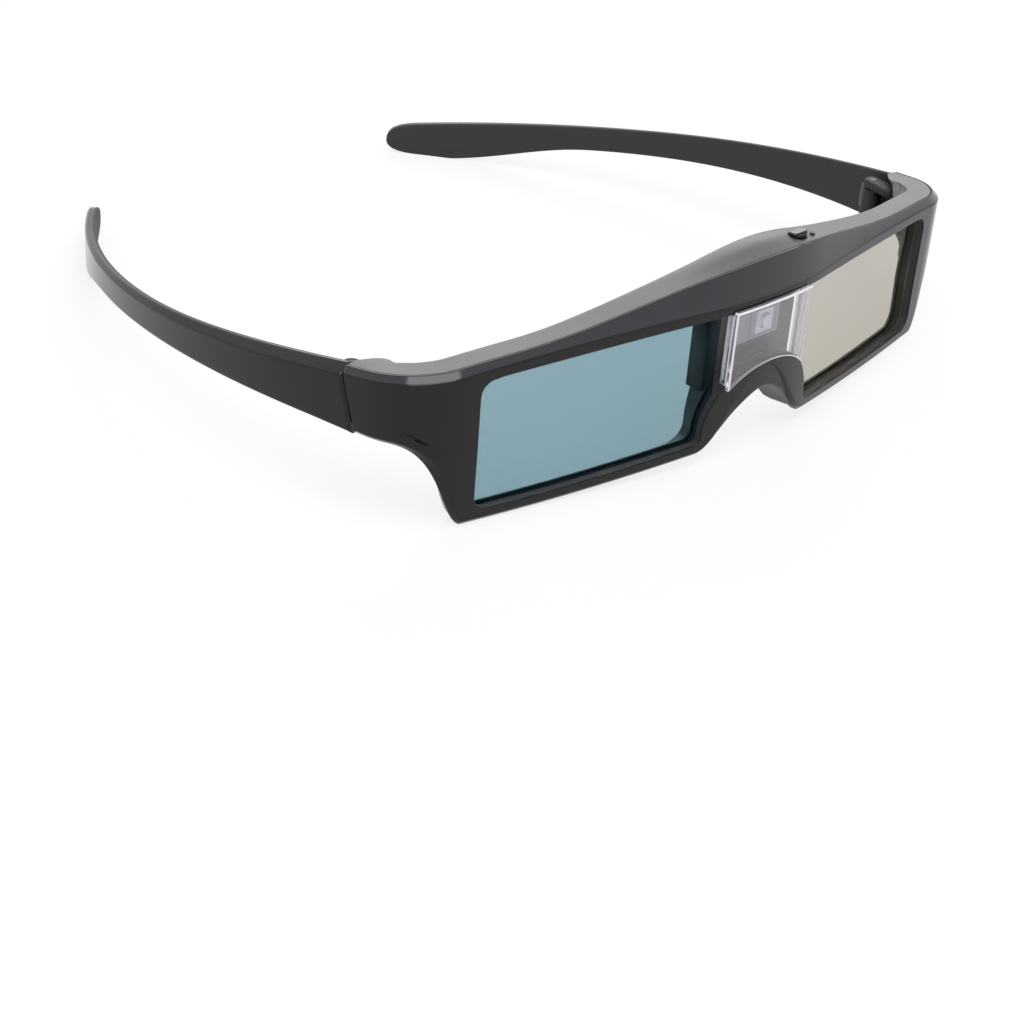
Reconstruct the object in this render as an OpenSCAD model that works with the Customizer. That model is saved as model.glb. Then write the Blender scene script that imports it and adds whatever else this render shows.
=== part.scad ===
// Active-shutter glasses: a two-shell front with one wide opening, two liquid-crystal
// shutter lenses, a clear sensor window over the nose and two bowed folding temples.
// +Z is up, -Y is the way the wearer looks, -X is the wearer's right.

/* [Front] */
// Half width of the lens opening, measured from the middle
opening_half = 65.5; // [62:0.5:70]
// Height of the lens opening at its outer edge
opening_h = 26.4; // [24:0.2:30]
// Rise of the opening's upper edge towards the bridge
opening_rise = 2.9; // [1:0.1:4]
// Rise of the lower rim towards the nose
low_rise = 4; // [2:0.5:6]
// Corner radius of the lens opening
opening_r = 3; // [2:0.1:4]
// Height of the rim below the opening
rim_h = 2.6; // [2.4:0.1:4]
// Height of the flat bezel above the opening, at the middle
bezel_h = 1.4; // [1.2:0.1:3]
// Height of the brow above the bezel, at the middle
brow_h = 6.25; // [4.5:0.05:8]
// Half width over which the brow fades into the bevel
brow_half = 58; // [45:1:66]
// Height of the bevel that runs along the upper edge
bevel_h = 1.25; // [1:0.05:2.5]
// Drop of the upper crease from the middle to the temple seam
crease_drop = 5.4; // [4:0.1:8]
// Extra height of the housing over the bridge, behind the brow
hump_h = 1.4; // [0:0.1:2]
// Half width of that raised part
hump_half = 28; // [22:1:32]

/* [Wrap] */
// Radius of the bridge, seen from above
bridge_r = 80; // [70:1:120]
// Angle at which the lenses sweep back
wrap_angle = 12.3; // [10:0.1:15]
// Distance from the opening to the start of the corner
corner_gap = 2.8; // [2:0.1:6]
// Radius of the corner between the front and the end piece
corner_r = 17; // [15:0.5:22]
// Heading of the end piece at the temple seam
side_angle = 80; // [76:0.5:84]
// Straight length between the corner and the temple seam
end_len = 5; // [4:0.25:9]
// How far the temple seam leans forward at its lower end
seam_lean = 3.5; // [1:0.25:4]

/* [End piece] */
// Height of the end piece's lower edge above the table
end_low = 17; // [14:0.25:19]
// Distance from the opening to where the lower edge starts to rise
end_rise_gap = 4.4; // [4:0.1:6]
// Length over which the lower edge rises from the rim to the end piece
end_rise_len = 14.5; // [13:0.5:17]
// Width of the raised lip along that lower edge
lip_w = 3.4; // [1.5:0.1:4]
// Depth of the chamfer along the lower edge
lip_d = 0.9; // [0.5:0.1:1.2]

/* [Shells] */
// Thickness of the front shell
shell_t = 1.7; // [1.5:0.1:2.4]
// Depth of the front over both shells, at the bridge
frame_depth = 9.6; // [9:0.1:11]
// Depth of the front over both shells, at the outer ends of the lenses
side_depth = 7.4; // [7.2:0.1:9]
// Thickness of the rear shell's rim behind the lenses
rim_lip = 0.8; // [0.7:0.1:1.5]
// Rounding of the housing's upper rear edge
back_r = 1.8; // [1:0.1:2.2]
// Gap between the front and rear shells
shell_gap = 0.2; // [0.15:0.05:0.3]
// Step of the rear shell inside the front shell's outline
shell_step = 0.35; // [0.1:0.05:0.6]
// Thickness of the walls around the electronics
wall_t = 1.3; // [1:0.1:1.6]
// Half length of the electronics bay above the lenses
bay_half = 32; // [30:1:36]

/* [Nose] */
// Half width of the opening's arch over the nose
arch_half = 15.8; // [15:0.1:17]
// Radius of the opening's corner at the foot of that arch
foot_r = 1.5; // [1:0.1:2]
// Height of that arch
arch_h = 15.25; // [14.5:0.25:17]
// Half width of the nose cut-out in the lower outline
nose_half = 16.7; // [16.2:0.1:19]
// Height of the nose cut-out
nose_h = 16; // [13:0.25:16.5]
// Thickness of the rubber nose saddle at its wings
pad_t = 1.4; // [1.2:0.1:2]
// Thickness of the rubber nose saddle at its middle
pad_mid_t = 5.4; // [3:0.1:6]
// Depth of the nose saddle, front to back
pad_depth = 9.6; // [8:0.2:11]
// How far the saddle's front stands back from the front shell's face
pad_front = 0.6; // [0.3:0.1:2]
// How far the saddle's wings flare outwards at the back
pad_flare = 1; // [0:0.1:2]
// Gap between the saddle and the shells
pad_gap = 0.25; // [0.1:0.05:0.4]

/* [Lenses] */
// Thickness of one liquid-crystal cell
cell_t = 1.2; // [1:0.1:1.5]
// Thickness of one polarising film
film_t = 0.2; // [0.15:0.05:0.25]
// Overlap of the lens behind the edge of the opening
lens_lip = 1.1; // [0.8:0.1:1.3]
// Clearance around a lens in its seat
lens_gap = 0.2; // [0.15:0.05:0.3]
// Half width of the clear sensor window
window_half = 11.2; // [10:0.1:12]
// Wall of the sensor window
window_wall = 1.1; // [0.8:0.1:1.4]
// How far the window stands proud of the bezel
window_proud = 1; // [0:0.1:1.5]

/* [Temples] */
// Radius of the temples' bow, seen from above
bow_r = 155; // [135:1:190]
// Length of a temple along its outer face
temple_len = 140; // [125:1:150]
// Fall of the temple for each millimetre that it runs back
temple_fall = 0.17; // [0.15:0.005:0.18]
// Height of a temple at its slimmest
temple_waist = 6; // [5:0.1:7.5]
// Thickness of a temple at the seam
temple_t = 3.8; // [3.4:0.1:4.6]
// Thickness of a temple at its tip
tip_t = 2.3; // [1.8:0.1:3]
// Gap at the seam between a temple and the end piece
seam_gap = 0.35; // [0.3:0.05:0.6]

/* [Hinge] */
// Radius of the hinge knuckles
knuckle_r = 1.9; // [1.7:0.1:2.2]
// Height of one hinge lug on the rear shell
lug_h = 1.8; // [1.6:0.1:2.2]
// Radius of the hinge screw's shank
screw_r = 0.7; // [0.6:0.05:0.9]
// Radial clearance of the temple's knuckle on the screw
run_fit = 0.05; // [0.02:0.01:0.09]
// Radial clearance of the lugs on the screw
lug_fit = 0.02; // [0.01:0.01:0.05]
// Gap between the knuckle and the lugs, and around the lugs
hinge_gap = 0.3; // [0.25:0.05:0.5]

/* [Controls] */
// Place of the power button, to the wearer's left of the middle
button_x = 11; // [9:0.25:12]
// Length of the power button
button_l = 4.4; // [3.6:0.1:5]
// Width of the power button
button_w = 2.2; // [1.8:0.1:2.4]
// Height of the power button above the housing
button_up = 0.6; // [0.4:0.05:0.8]
// Travel of the power button
button_travel = 0.5; // [0.3:0.05:0.5]
// Clearance around the power button
button_gap = 0.2; // [0.1:0.05:0.3]
// Radius of the indicator's light pipe
light_r = 0.5; // [0.4:0.05:0.6]
// Distance from the power button to the indicator
light_step = 4.7; // [4:0.1:5]

/* [Hidden] */
$fn = 48;
eps = 0.01;
over = 1; // how far a cutting solid runs past the face that it cuts
snug = 0.05; // play between pieces that rest on each other
deg = 180 / PI;
gloss = [0.05, 0.05, 0.06];
matte = [0.16, 0.16, 0.17];
steel = [0.72, 0.73, 0.75];

// Arc lengths along the outer wall, from the middle of the bridge to the temple tip
s_bridge = bridge_r * wrap_angle / deg;
s_open = s_bridge + (opening_half - bridge_r * sin(wrap_angle)) / cos(wrap_angle);
s_corner = s_open + corner_gap;
s_side = s_corner + corner_r * (side_angle - wrap_angle) / deg;
s_seam = s_side + end_len;
s_seam_low = s_seam - seam_lean;

// Depth of the part in front of and behind its middle
front_y = (window_proud - tip_y()) / 2;

// Wall points: heading of the wall and its place in plan, for a positive arc length
function heading(s) = s < s_bridge ? s / bridge_r * deg
    : s < s_corner ? wrap_angle
    : s < s_side ? wrap_angle + (s - s_corner) / corner_r * deg
    : s < s_seam ? side_angle
    : side_angle + (s - s_seam) / bow_r * deg;
function along(a, d) = d * [cos(a), sin(a)];
function arc_step(r, a, b) = r * [sin(b) - sin(a), cos(a) - cos(b)];
function plan(s) = arc_step(bridge_r, 0, heading(min(s, s_bridge)))
    + along(wrap_angle, max(0, min(s, s_corner) - s_bridge))
    + (s > s_corner ? arc_step(corner_r, wrap_angle, heading(min(s, s_side))) : [0, 0])
    + along(side_angle, max(0, min(s, s_seam) - s_side))
    + (s > s_seam ? arc_step(bow_r, side_angle, heading(s)) : [0, 0]);
function tip_y() = plan(s_seam + temple_len).y;
// A point of the part: arc length s (negative to the wearer's right), n outwards, height z
function at(s, n, z) = let (p = plan(abs(s)), a = heading(abs(s)))
    [(s < 0 ? -1 : 1) * (p.x + n * sin(a)), front_y + p.y - n * cos(a), z];

// Easing from 0 to 1 with level ends
function ease(t) = let (u = max(0, min(1, t))) (1 - cos(180 * u)) / 2;
function mix(a, b, t) = a + (b - a) * t;
function sq(x) = x * x;

// Heights along the front, for an arc length of either sign
middle_top = rim_h + opening_h + opening_rise;
open_bow = 1.3;
crease_bow = 2.2;
function open_top(s) = middle_top - opening_rise * pow(abs(s) / s_open, open_bow);
function rim_low(s) = low_rise * sq(max(0, 1 - abs(s) / s_open));
function open_low(s) = rim_h + rim_low(s);
arch_foot = open_low(arch_half) + foot_r;
function arch_z(s) = arch_foot + (arch_h - foot_r) * sqrt(max(0, 1 - sq(s / arch_half)));
function nose_z(s) = rim_low(nose_half) + nose_h * (1 - ease(abs(s) / nose_half));
// Rise of the lower outline towards the seam: a rounded corner, then a curve that levels out
rise_turn = 0.16; // half length of that corner, as a share of the rise's length
function end_share(s) = (abs(s) - s_open - end_rise_gap) / end_rise_len;
function bend(u) = u < -rise_turn ? 0 : u < rise_turn ? sq(u + rise_turn) / (4 * rise_turn) : u;
function end_rise(s) = 1 - pow(1 - min(1, bend(end_share(s))), 3);
function low_z(s) = abs(s) < nose_half ? nose_z(s) : rim_low(s) + end_low * end_rise(s);
function crease_z(s) = middle_top + bezel_h - crease_drop * pow(abs(s) / s_seam, crease_bow);
function part_z(s) = crease_z(s) + bevel_h + brow_h * (1 - ease(abs(s) / brow_half));
function hump_z(s) = hump_h * (1 - ease(abs(s) / hump_half));
seam_top = part_z(s_seam);
seam_low = low_z(s_seam_low);

// Ring stations, counted round the opening: over the nose, along the rim, round the outer
// end, along the top and back. Each has the opening's edge and the outline's edge as [s, z].
arch_steps = 11;
foot_steps = 4;
rim_steps = 7;
end_steps = 29;
lip_steps = 14;
seam_steps = 3;
top_steps = 24;
face_steps = 10;
s_round = s_open - opening_r;
end_crowd = 0.18; // crowds the stations of the opening's end towards its top
function corner_pt(c, a) = c + opening_r * [cos(a), sin(a)];
function inner_end(k) = let (low = [s_round, open_low(s_open) + opening_r],
        top = [s_round, open_top(s_open) - opening_r], low_arc = 7, top_arc = 4)
    k <= low_arc ? corner_pt(low, -90 + 90 * k / low_arc)
    : k >= end_steps - top_arc ? corner_pt(top, 90 * (k - end_steps + top_arc) / top_arc)
    : [s_open, mix(low.y, top.y, pow((k - low_arc) / (end_steps - low_arc - top_arc), end_crowd))];
// Stations along the lip, close together where its outline turns up
flat_share = 0.2; // share of them along the level rim
s_turn = s_open + end_rise_gap - rise_turn * end_rise_len;
function lip_s(t) = t < flat_share ? mix(s_round, s_turn, t / flat_share)
    : mix(s_turn, s_seam_low, pow((t - flat_share) / (1 - flat_share), 1.6));
function outer_end(k) = let (on_seam = k - lip_steps, on_top = on_seam - seam_steps)
    on_seam <= 0 ? let (s = lip_s(k / lip_steps)) [s, low_z(s)]
    : on_top <= 0 ? mix([s_seam_low, seam_low], [s_seam, seam_top], on_seam / seam_steps)
    : let (s = mix(s_seam, s_round, on_top / (end_steps - lip_steps - seam_steps))) [s, part_z(s)];
function reverse(list) = [for (i = [len(list) - 1:-1:0]) list[i]];
function flip(st) = [for (p = st) [-p.x, p.y]];
s_foot = arch_half + foot_r;
foot_share = 0.72; // share of the nose cut-out that faces the arch, the rest faces its foot
foot_turn = 1.08;
function arch_share(t) = let (lift = foot_turn - foot_share) foot_turn * t - lift * sq(t);
half_low = concat(
    [for (i = [0:arch_steps]) let (t = i / arch_steps, s = arch_half * sin(90 * t))
        [[s, arch_z(s)], let (o = nose_half * arch_share(t)) [o, low_z(o)]]],
    [for (i = [1:foot_steps]) let (t = i / foot_steps, o = mix(nose_half * foot_share, s_foot, t))
        [[s_foot - foot_r * cos(90 * t), mix(open_low(s_foot), arch_foot, 1 - sin(90 * t))], [o, low_z(o)]]],
    [for (i = [1:rim_steps - 1]) let (s = mix(s_foot, s_round, i / rim_steps))
        [[s, open_low(s)], [s, low_z(s)]]],
    [for (k = [0:end_steps]) [inner_end(k), outer_end(k)]]);
half_top = [for (i = [1:top_steps / 2 - 1]) let (s = s_round * (1 - 2 * i / top_steps))
    [[s, open_top(s)], [s, part_z(s)]]];
half_ring = concat(half_low, half_top);
ring = concat([[[0, open_top(0)], [0, part_z(0)]]], reverse(half_ring),
    [for (st = half_ring) if (st[0].x > eps) flip(st)]);

// A point of the wall kept in front of the leaning seam
function at_seam(s, z) = let (most = s_seam - seam_lean * (seam_top - z) / (seam_top - seam_low))
    [max(-most, min(most, s)), z];
// True where a station's outline is on the upper edge
function on_top(st) = st[1].y > part_z(st[1].x) - eps;
function on_seam(st) = abs(st[1].x) > s_seam_low + eps;
function toward(from, to, d) = let (v = to - from) from + v * min(1, d / norm(v));
// A point of the lower outline moved into the rim, square to that outline
function inset(p, d) = let (rise = low_z(p.x + eps) - low_z(p.x - eps), v = [-rise, 2 * eps])
    p + d * v / norm(v);

// Closed surface through loops of points, joined end to end or closed by flat ends
function skin_faces(rows, cols, closed) = concat(
    [for (i = [0:rows - (closed ? 1 : 2)], j = [0:cols - 1])
        let (a = i * cols, b = (i + 1) % rows * cols, k = (j + 1) % cols)
        each [[a + j, b + k, b + j], [a + j, a + k, b + k]]],
    closed ? [] : [[for (j = [cols - 1:-1:0]) j], [for (j = [0:cols - 1]) (rows - 1) * cols + j]]);
module skin(loops, closed = false) {
    polyhedron([for (l = loops) each l], skin_faces(len(loops), len(loops[0]), closed), convexity = 10);
}

// Cross-section of the front shell at a station
edge_land = 0.3;
lip_run = 0.4; // share of the rise over which the lip grows to its full width
function lip_swell(s) = ease(bend(end_share(s)) / lip_run) * (1 - sq(end_rise(s)));
function front_loop(st) = let (i = st[0], o = st[1], top = on_top(st), seam = on_seam(st),
        width = seam ? edge_land : mix(lip_d, lip_w, lip_swell(abs(o.x))),
        crease = top ? at_seam(o.x, crease_z(o.x)) : seam ? toward(o, i, width) : inset(o, width),
        drop = top ? shell_t - edge_land : seam ? edge_land : lip_d)
    concat([for (k = [0:face_steps]) let (p = mix(i, crease, k / face_steps)) at(p.x, 0, p.y)],
        [at(o.x, -drop, o.y)],
        [for (k = [0:face_steps]) let (p = mix(o, i, k / face_steps)) at(p.x, -shell_t, p.y)]);

// Depths behind the wall
rear_n = -shell_t - shell_gap;
stack_t = cell_t + 2 * film_t;
seat_n = rear_n - stack_t - 2 * lens_gap;
function depth(s) = mix(mix(frame_depth, side_depth, ease(abs(s) / brow_half)), temple_t,
    ease((abs(s) - s_side + end_len) / (2 * end_len)));
edge_r = 0.9;
rim_depth = rim_lip - seat_n;
// Depth at a point [s, z] of the rim: full over the nose and along the top, shallow beside the lenses
top_run = 24; // length of the top over which it grows shallow towards the corner
rim_run = 12; // and of the rim, out from the nose
function rim_d(p) = let (s = abs(p.x), full = depth(s),
        t = p.y > middle_top / 2 + rim_h ? (s - s_round) / top_run + 1 : (s - arch_half) / rim_run + 0.5)
    mix(full, min(full, rim_depth), ease(t));
// Swelling of the rear face between the opening and the end of the front
end_swell = 3;
function end_bulge(st) = end_swell * ease((abs(st[1].x) - s_open) / (s_side - s_open));
hold_share = 0.35; // share of the lens seat that stands back from the opening's edge
brim_w = 1; // width of the slope at the back of the rear shell's opening
brim_share = 0.5; // and its most, as a share of the rear face
edge_share = 0.4; // most of the rear shell's thickness that a rounded edge may take
edge_bulge = 1 - sqrt(0.5);

// Cross-section of the rear shell at a station: a step for the lens, a rounded outer edge
function rear_loop(st) = let (i = st[0], top = on_top(st),
        o = top || on_seam(st) ? st[1] : inset(st[1], shell_step),
        n = -(top || on_seam(st) ? depth(o.x) : rim_d(o)), bulge = end_bulge(st),
        r = min(top ? back_r : edge_r, edge_share * (rear_n - n)),
        seat = toward(i, o, lens_lip + lens_gap), hold = mix(i, seat, hold_share),
        rise = top ? hump_z(o.x) : 0, back = toward(o, i, r) + [0, rise],
        brim = toward(i, o, min(brim_w, brim_share * (norm(o - i) - r))), n_in = -rim_d(i))
    concat([for (k = [0:face_steps]) let (p = mix(seat, o, k / face_steps)) at(p.x, rear_n, p.y)],
        [at(o.x, mix(rear_n, n, 0.5), o.y + rise), at(o.x, n + r, o.y + rise),
            let (b = r * edge_bulge, p = toward(o, i, b)) at(p.x, n + b, p.y + rise)],
        [for (k = [0:face_steps]) let (f = k / face_steps, p = mix(back, brim, f))
            at(p.x, mix(n, n_in, f) - bulge * sin(180 * f), p.y)],
        [at(hold.x, seat_n, hold.y), at(seat.x, seat_n, seat.y)]);

// Place things in the flat stretch of one lens: x along the wall, -y outwards
module on_lens(side) {
    mirror([side < 0 ? 1 : 0, 0, 0]) translate(at(s_bridge, 0, 0)) rotate(wrap_angle)
        translate([-s_bridge, 0, 0]) children();
}
// Flat sheet on a lens between two depths
module sheet(side, near, far) {
    on_lens(side) translate([0, -far, 0]) rotate([90, 0, 0]) linear_extrude(near - far) children();
}
// Place things at the hinge of one side: x along the wall, -y outwards
hinge_n = -temple_t - hinge_gap - knuckle_r;
hinge_back = knuckle_r + hinge_gap;
hinge_pos = at(s_seam, hinge_n, 0) + [cos(side_angle), sin(side_angle), 0] * hinge_back;
module on_hinge(side) {
    mirror([side < 0 ? 1 : 0, 0, 0]) translate(hinge_pos) rotate(side_angle) children();
}
hinge_inset = 0.6;
hinge_drop = 1.8;
hinge_low = seam_low + hinge_inset;
knuckle_low = hinge_low + lug_h + hinge_gap;
knuckle_top = seam_top - hinge_drop - lug_h - hinge_gap;
lug_reach = 7;

// Electronics bay: a curved pocket behind the brow, open towards the front shell
bay_n = -side_depth + wall_t / 2;
function bay_low(s) = open_top(s) + lens_lip + wall_t;
function bay_top(s) = part_z(s) - wall_t;
module bay() {
    steps = 20;
    least_h = 0.6;
    skin([for (i = [0:steps]) let (s = mix(-bay_half, bay_half, i / steps), lo = bay_low(s),
            hi = max(lo + least_h, bay_top(s)), n = rear_n + over)
        [at(s, n, lo), at(s, n, hi), at(s, bay_n, hi), at(s, bay_n, lo)]]);
}

// Screws that hold the shells together, one in each end piece
clamp_turn = 16; // how far round the corner a screw stands, in degrees
clamp_up = 0.55; // its height, as a share of the opening's
clamp_sink = 1; // depth of its head below the rear face
screw_s = s_corner + clamp_turn * corner_r / deg;
screw_z = rim_h + opening_h * clamp_up;
clamp_r = 0.8;
clamp_head_r = 1.5;
clamp_head_h = 1.2;
clamp_bite = 1.5;
clamp_fit = 0.05;
screw_n = clamp_sink - depth(screw_s);
module on_screw(side) {
    mirror([side < 0 ? 1 : 0, 0, 0]) translate(at(screw_s, 0, screw_z))
        rotate(heading(screw_s)) rotate([-90, 0, 0]) children();
}

// Charging socket over the left lens, and the flexible tails of the lenses
socket_step = 8;
socket_s = s_bridge + socket_step;
socket_w = 7.4;
socket_h = 2.5;
socket_d = 4.6;
socket_n = -depth(socket_s);
socket_z = bay_low(socket_s - socket_w / 2) + snug;
socket_fit = 0.1;
light_x = button_x + light_step;
board_margin = 0.6;
board_half = light_x + light_r + board_margin;
tail_w = 3;
tail_s = board_half + board_margin + tail_w / 2;
tail_t = 0.2;
tail_n = rear_n - lens_gap - film_t - cell_t / 2;
tail_up = 1.2;
tail_gap = 0.3;
tail_top = bay_low(tail_s) + tail_up;
module box_shape(s, half, low, high) {
    translate([s - half, low]) square([2 * half, high - low]);
}

module front_frame() color(gloss) difference() {
    skin([for (st = ring) front_loop(st)], true);
    for (side = [-1, 1]) on_screw(side)
        translate([0, 0, shell_t - clamp_bite]) cylinder(r = clamp_r, h = clamp_bite + over);
}

// Web behind the sensor window, between the two lens seats
window_side = 0.6; // play between the window and the lenses
window_back = stack_t - rear_n;
web_half = window_half + window_side + window_back * sin(wrap_angle);
web_lap = 1; // how far the web runs into the ring
web_room = 1.2; // room between the lens seats and the web
web_near = front_y - seat_n + web_room;
web_far = front_y + frame_depth - snug;
module web() {
    steps = 12;
    foot = [for (i = [0:steps]) let (x = mix(web_half, -web_half, i / steps)) [x, arch_z(x) - web_lap]];
    top = middle_top + web_lap;
    translate([0, web_far, 0]) rotate([90, 0, 0]) linear_extrude(web_far - web_near)
        polygon(concat([[-web_half, top], [web_half, top]], foot));
}

module lug(z) {
    translate([0, 0, z]) union() {
        cylinder(r = knuckle_r, h = lug_h);
        translate([-lug_reach, -knuckle_r, 0]) cube([lug_reach, 2 * knuckle_r, lug_h]);
    }
}

module rear_frame() color(matte) difference() {
    union() {
        skin([for (st = ring) rear_loop(st)], true);
        web();
        for (side = [-1, 1], z = [hinge_low, knuckle_top + hinge_gap]) on_hinge(side) lug(z);
    }
    bay();
    for (side = [-1, 1]) {
        on_hinge(side) translate([0, 0, hinge_low - over])
            cylinder(r = screw_r + lug_fit, h = seam_top - hinge_low + 2 * over);
        on_screw(side) cylinder(r = clamp_r + clamp_fit, h = frame_depth);
        on_screw(side) translate([0, 0, -screw_n - clamp_head_h])
            cylinder(r = clamp_head_r + clamp_fit, h = frame_depth);
        sheet(side, rear_n + over, seat_n)
            box_shape(tail_s, tail_w / 2 + tail_gap, open_top(tail_s) - over, tail_top);
    }
    sheet(1, socket_n + socket_d + socket_fit, 2 * socket_n)
        box_shape(socket_s, socket_w / 2 + socket_fit, socket_z - socket_fit,
            socket_z + socket_h + socket_fit);
    translate([button_x, button_y, button_floor]) linear_extrude(hump_h + brow_h) pill(button_gap);
    translate([light_x, button_y, board_top]) cylinder(r = light_r + snug, h = hump_h + brow_h + over);
}

// Lens outline: the opening's edge on one side of the window, moved out behind the shell
lens_in = web_half;
module lens_shape(grow) {
    edge = [for (st = half_ring) let (p = toward(st[0], st[1], grow)) if (p.x > lens_in) p];
    polygon(concat([[lens_in, arch_z(lens_in) - grow]], edge, [[lens_in, open_top(lens_in) + grow]]));
}
film_in = 0.3; // how far the films stop short of the cell's edge
module lens_layer(side, near, thick, grow) {
    sheet(side, near, near - thick) lens_shape(grow);
}
front_film_n = rear_n - lens_gap;
cell_n = front_film_n - film_t;
rear_film_n = cell_n - cell_t;
module lens_cell(side) color([0.42, 0.55, 0.57, 0.6]) lens_layer(side, cell_n, cell_t, lens_lip);
module front_film(side) color([0.3, 0.42, 0.44, 0.5])
    lens_layer(side, front_film_n, film_t, lens_lip - film_in);
module rear_film(side) color([0.3, 0.36, 0.36, 0.5])
    lens_layer(side, rear_film_n, film_t, lens_lip - film_in);

// Clear cover over the receiver: a shallow box that follows the nose arch, its face bowed
window_top = 0.4; // play between the window and the bezel
window_foot = 0.2; // play between the window and the arch
function window_outline(inset) = let (steps = 12, half = window_half - inset,
        top = middle_top - window_top - inset)
    concat([[-half, top], [half, top]],
        [for (i = [0:steps]) let (x = mix(half, -half, i / steps)) [x, arch_z(x) + window_foot + inset]]);
module window_block(near, far, inset) {
    translate([0, front_y + far, 0]) rotate([90, 0, 0]) linear_extrude(far - near)
        polygon(window_outline(inset));
}
module sensor_window() color([0.8, 0.8, 0.85, 0.4]) intersection() {
    difference() {
        window_block(-window_proud - over, window_back, 0);
        window_block(window_wall, window_back + over, window_wall);
    }
    translate([0, front_y + bridge_r, 0]) cylinder(r = bridge_r + window_proud, h = middle_top, $fn = 720);
}

// Rubber saddle under the rear shell's nose cut-out: thick over the nose, with thin wings
// that flare outwards to the back
pad_n = -pad_front;
pad_span = 0.93; // share of the nose cut-out that the saddle covers
pad_swell = 0.7; // share of the saddle over which it thins to its wings
wing_short = 0.25; // share of its depth that the saddle loses at the wings' ends
pad_edge = 0.15; // share of its section that the rounded edges take
pad_shape = let (e = pad_edge, f = 1 - pad_edge)
    [[e, 0], [0, e], [0, f], [e, 1], [f, 1], [1, f], [1, e], [f, 0]];
function pad_loop(u) = let (s = u * nose_half * pad_span, back = pad_n - pad_depth * (1 - wing_short * sq(u)),
        t = mix(pad_mid_t, pad_t, ease(abs(u) / pad_swell)), flare = u * abs(u) * pad_flare)
    [for (p = pad_shape) let (q = inset([s, nose_z(s)], -pad_gap - t * p.x))
        at(q.x + flare * p.x * p.y, mix(pad_n, back, p.y), q.y)];
module nose_pad() color([0.2, 0.2, 0.21]) {
    steps = 24;
    skin([for (i = [0:steps]) pad_loop(mix(-1, 1, i / steps))]);
}

// Temple: a bowed bar that falls to the back, slim at its waist, with a paddle at the tip
temple_steps = 34;
tip_steps = 7;
waist_at = 0.62;
waist_bow = 0.8;
paddle_at = 0.88;
tip_at = 0.94;
temple_stations = concat([for (i = [0:temple_steps]) tip_at * i / temple_steps],
    [for (i = [1:tip_steps]) mix(tip_at, 1, sin(90 * i / tip_steps))]);
bevel_end = 0.5;
thin_at = 0.45; // share of the temple over which it thins
tip_least = 0.2; // height of the tip's end, as a share of the paddle's
temple_edge = 0.5;
function temple_s(u) = mix(s_seam + seam_gap, s_seam + temple_len, u);
function temple_top(u) = seam_top - temple_fall * (plan(temple_s(u)).y - plan(s_seam).y);
function temple_h(u) = u < waist_at
    ? mix(seam_top - seam_low, temple_waist, pow(sin(90 * u / waist_at), waist_bow))
    : mix(temple_waist, temple_top(max(u, paddle_at)),
        ease((u - waist_at) / (paddle_at - waist_at)));
function temple_loop(u) = let (top = temple_top(u), h = temple_h(u),
        t = mix(temple_t, tip_t, ease(u / thin_at)),
        round = u > tip_at ? sqrt(max(sq(tip_least), 1 - sq((u - tip_at) / (1 - tip_at)))) : 1,
        mid = top - h / 2, hi = mid + h / 2 * round, lo = mid - h / 2 * round, r = temple_edge * round,
        b = mix(bevel_h, bevel_end, ease(u)) * round, bn = mix(t - 2 * r, r, ease(u)),
        lean = function(z) u == 0 ? -seam_lean * (seam_top - z) / (seam_top - seam_low) : 0)
    [for (p = [[-r, lo], [0, lo + r], [0, mid], [0, hi - b], [-bn, hi], [-t + r, hi],
        [-t, hi - r], [-t, mid], [-t, lo + r], [-t + r, lo]]) at(temple_s(u) + lean(p.y), p.x, p.y)];
// Leaf that joins the knuckle to the temple's inner face
leaf_l = 3.5;
leaf_lap = 0.6;
leaf_step = 1;
module temple(side) color(gloss) difference() {
    union() {
        mirror([side < 0 ? 1 : 0, 0, 0])
            skin([for (u = temple_stations) temple_loop(u)]);
        on_hinge(side) translate([0, 0, knuckle_low]) {
            cylinder(r = knuckle_r, h = knuckle_top - knuckle_low);
            translate([-leaf_step, -knuckle_r - hinge_gap - leaf_lap, 0])
                cube([leaf_step + leaf_l, knuckle_r + hinge_gap + leaf_lap, knuckle_top - knuckle_low]);
        }
    }
    on_hinge(side) translate([0, 0, knuckle_low - over])
        cylinder(r = screw_r + run_fit, h = knuckle_top - knuckle_low + 2 * over);
}
module hinge_screw(side) color(steel) on_hinge(side) translate([0, 0, hinge_low])
    cylinder(r = screw_r, h = knuckle_top + hinge_gap + lug_h - hinge_low);

slot_w = 0.4;
slot_d = 0.4;
slot_l = 2;
module frame_screws() color(steel) for (side = [-1, 1]) on_screw(side) difference() {
    tip = shell_t - clamp_bite + snug;
    union() {
        translate([0, 0, tip]) cylinder(r = clamp_r - eps, h = -screw_n - tip);
        translate([0, 0, snug - screw_n - clamp_head_h]) cylinder(r = clamp_head_r, h = clamp_head_h - snug);
    }
    for (a = [0, 90]) rotate(a) translate([0, 0, -screw_n]) cube([slot_l, slot_w, 2 * slot_d], center = true);
}

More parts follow.
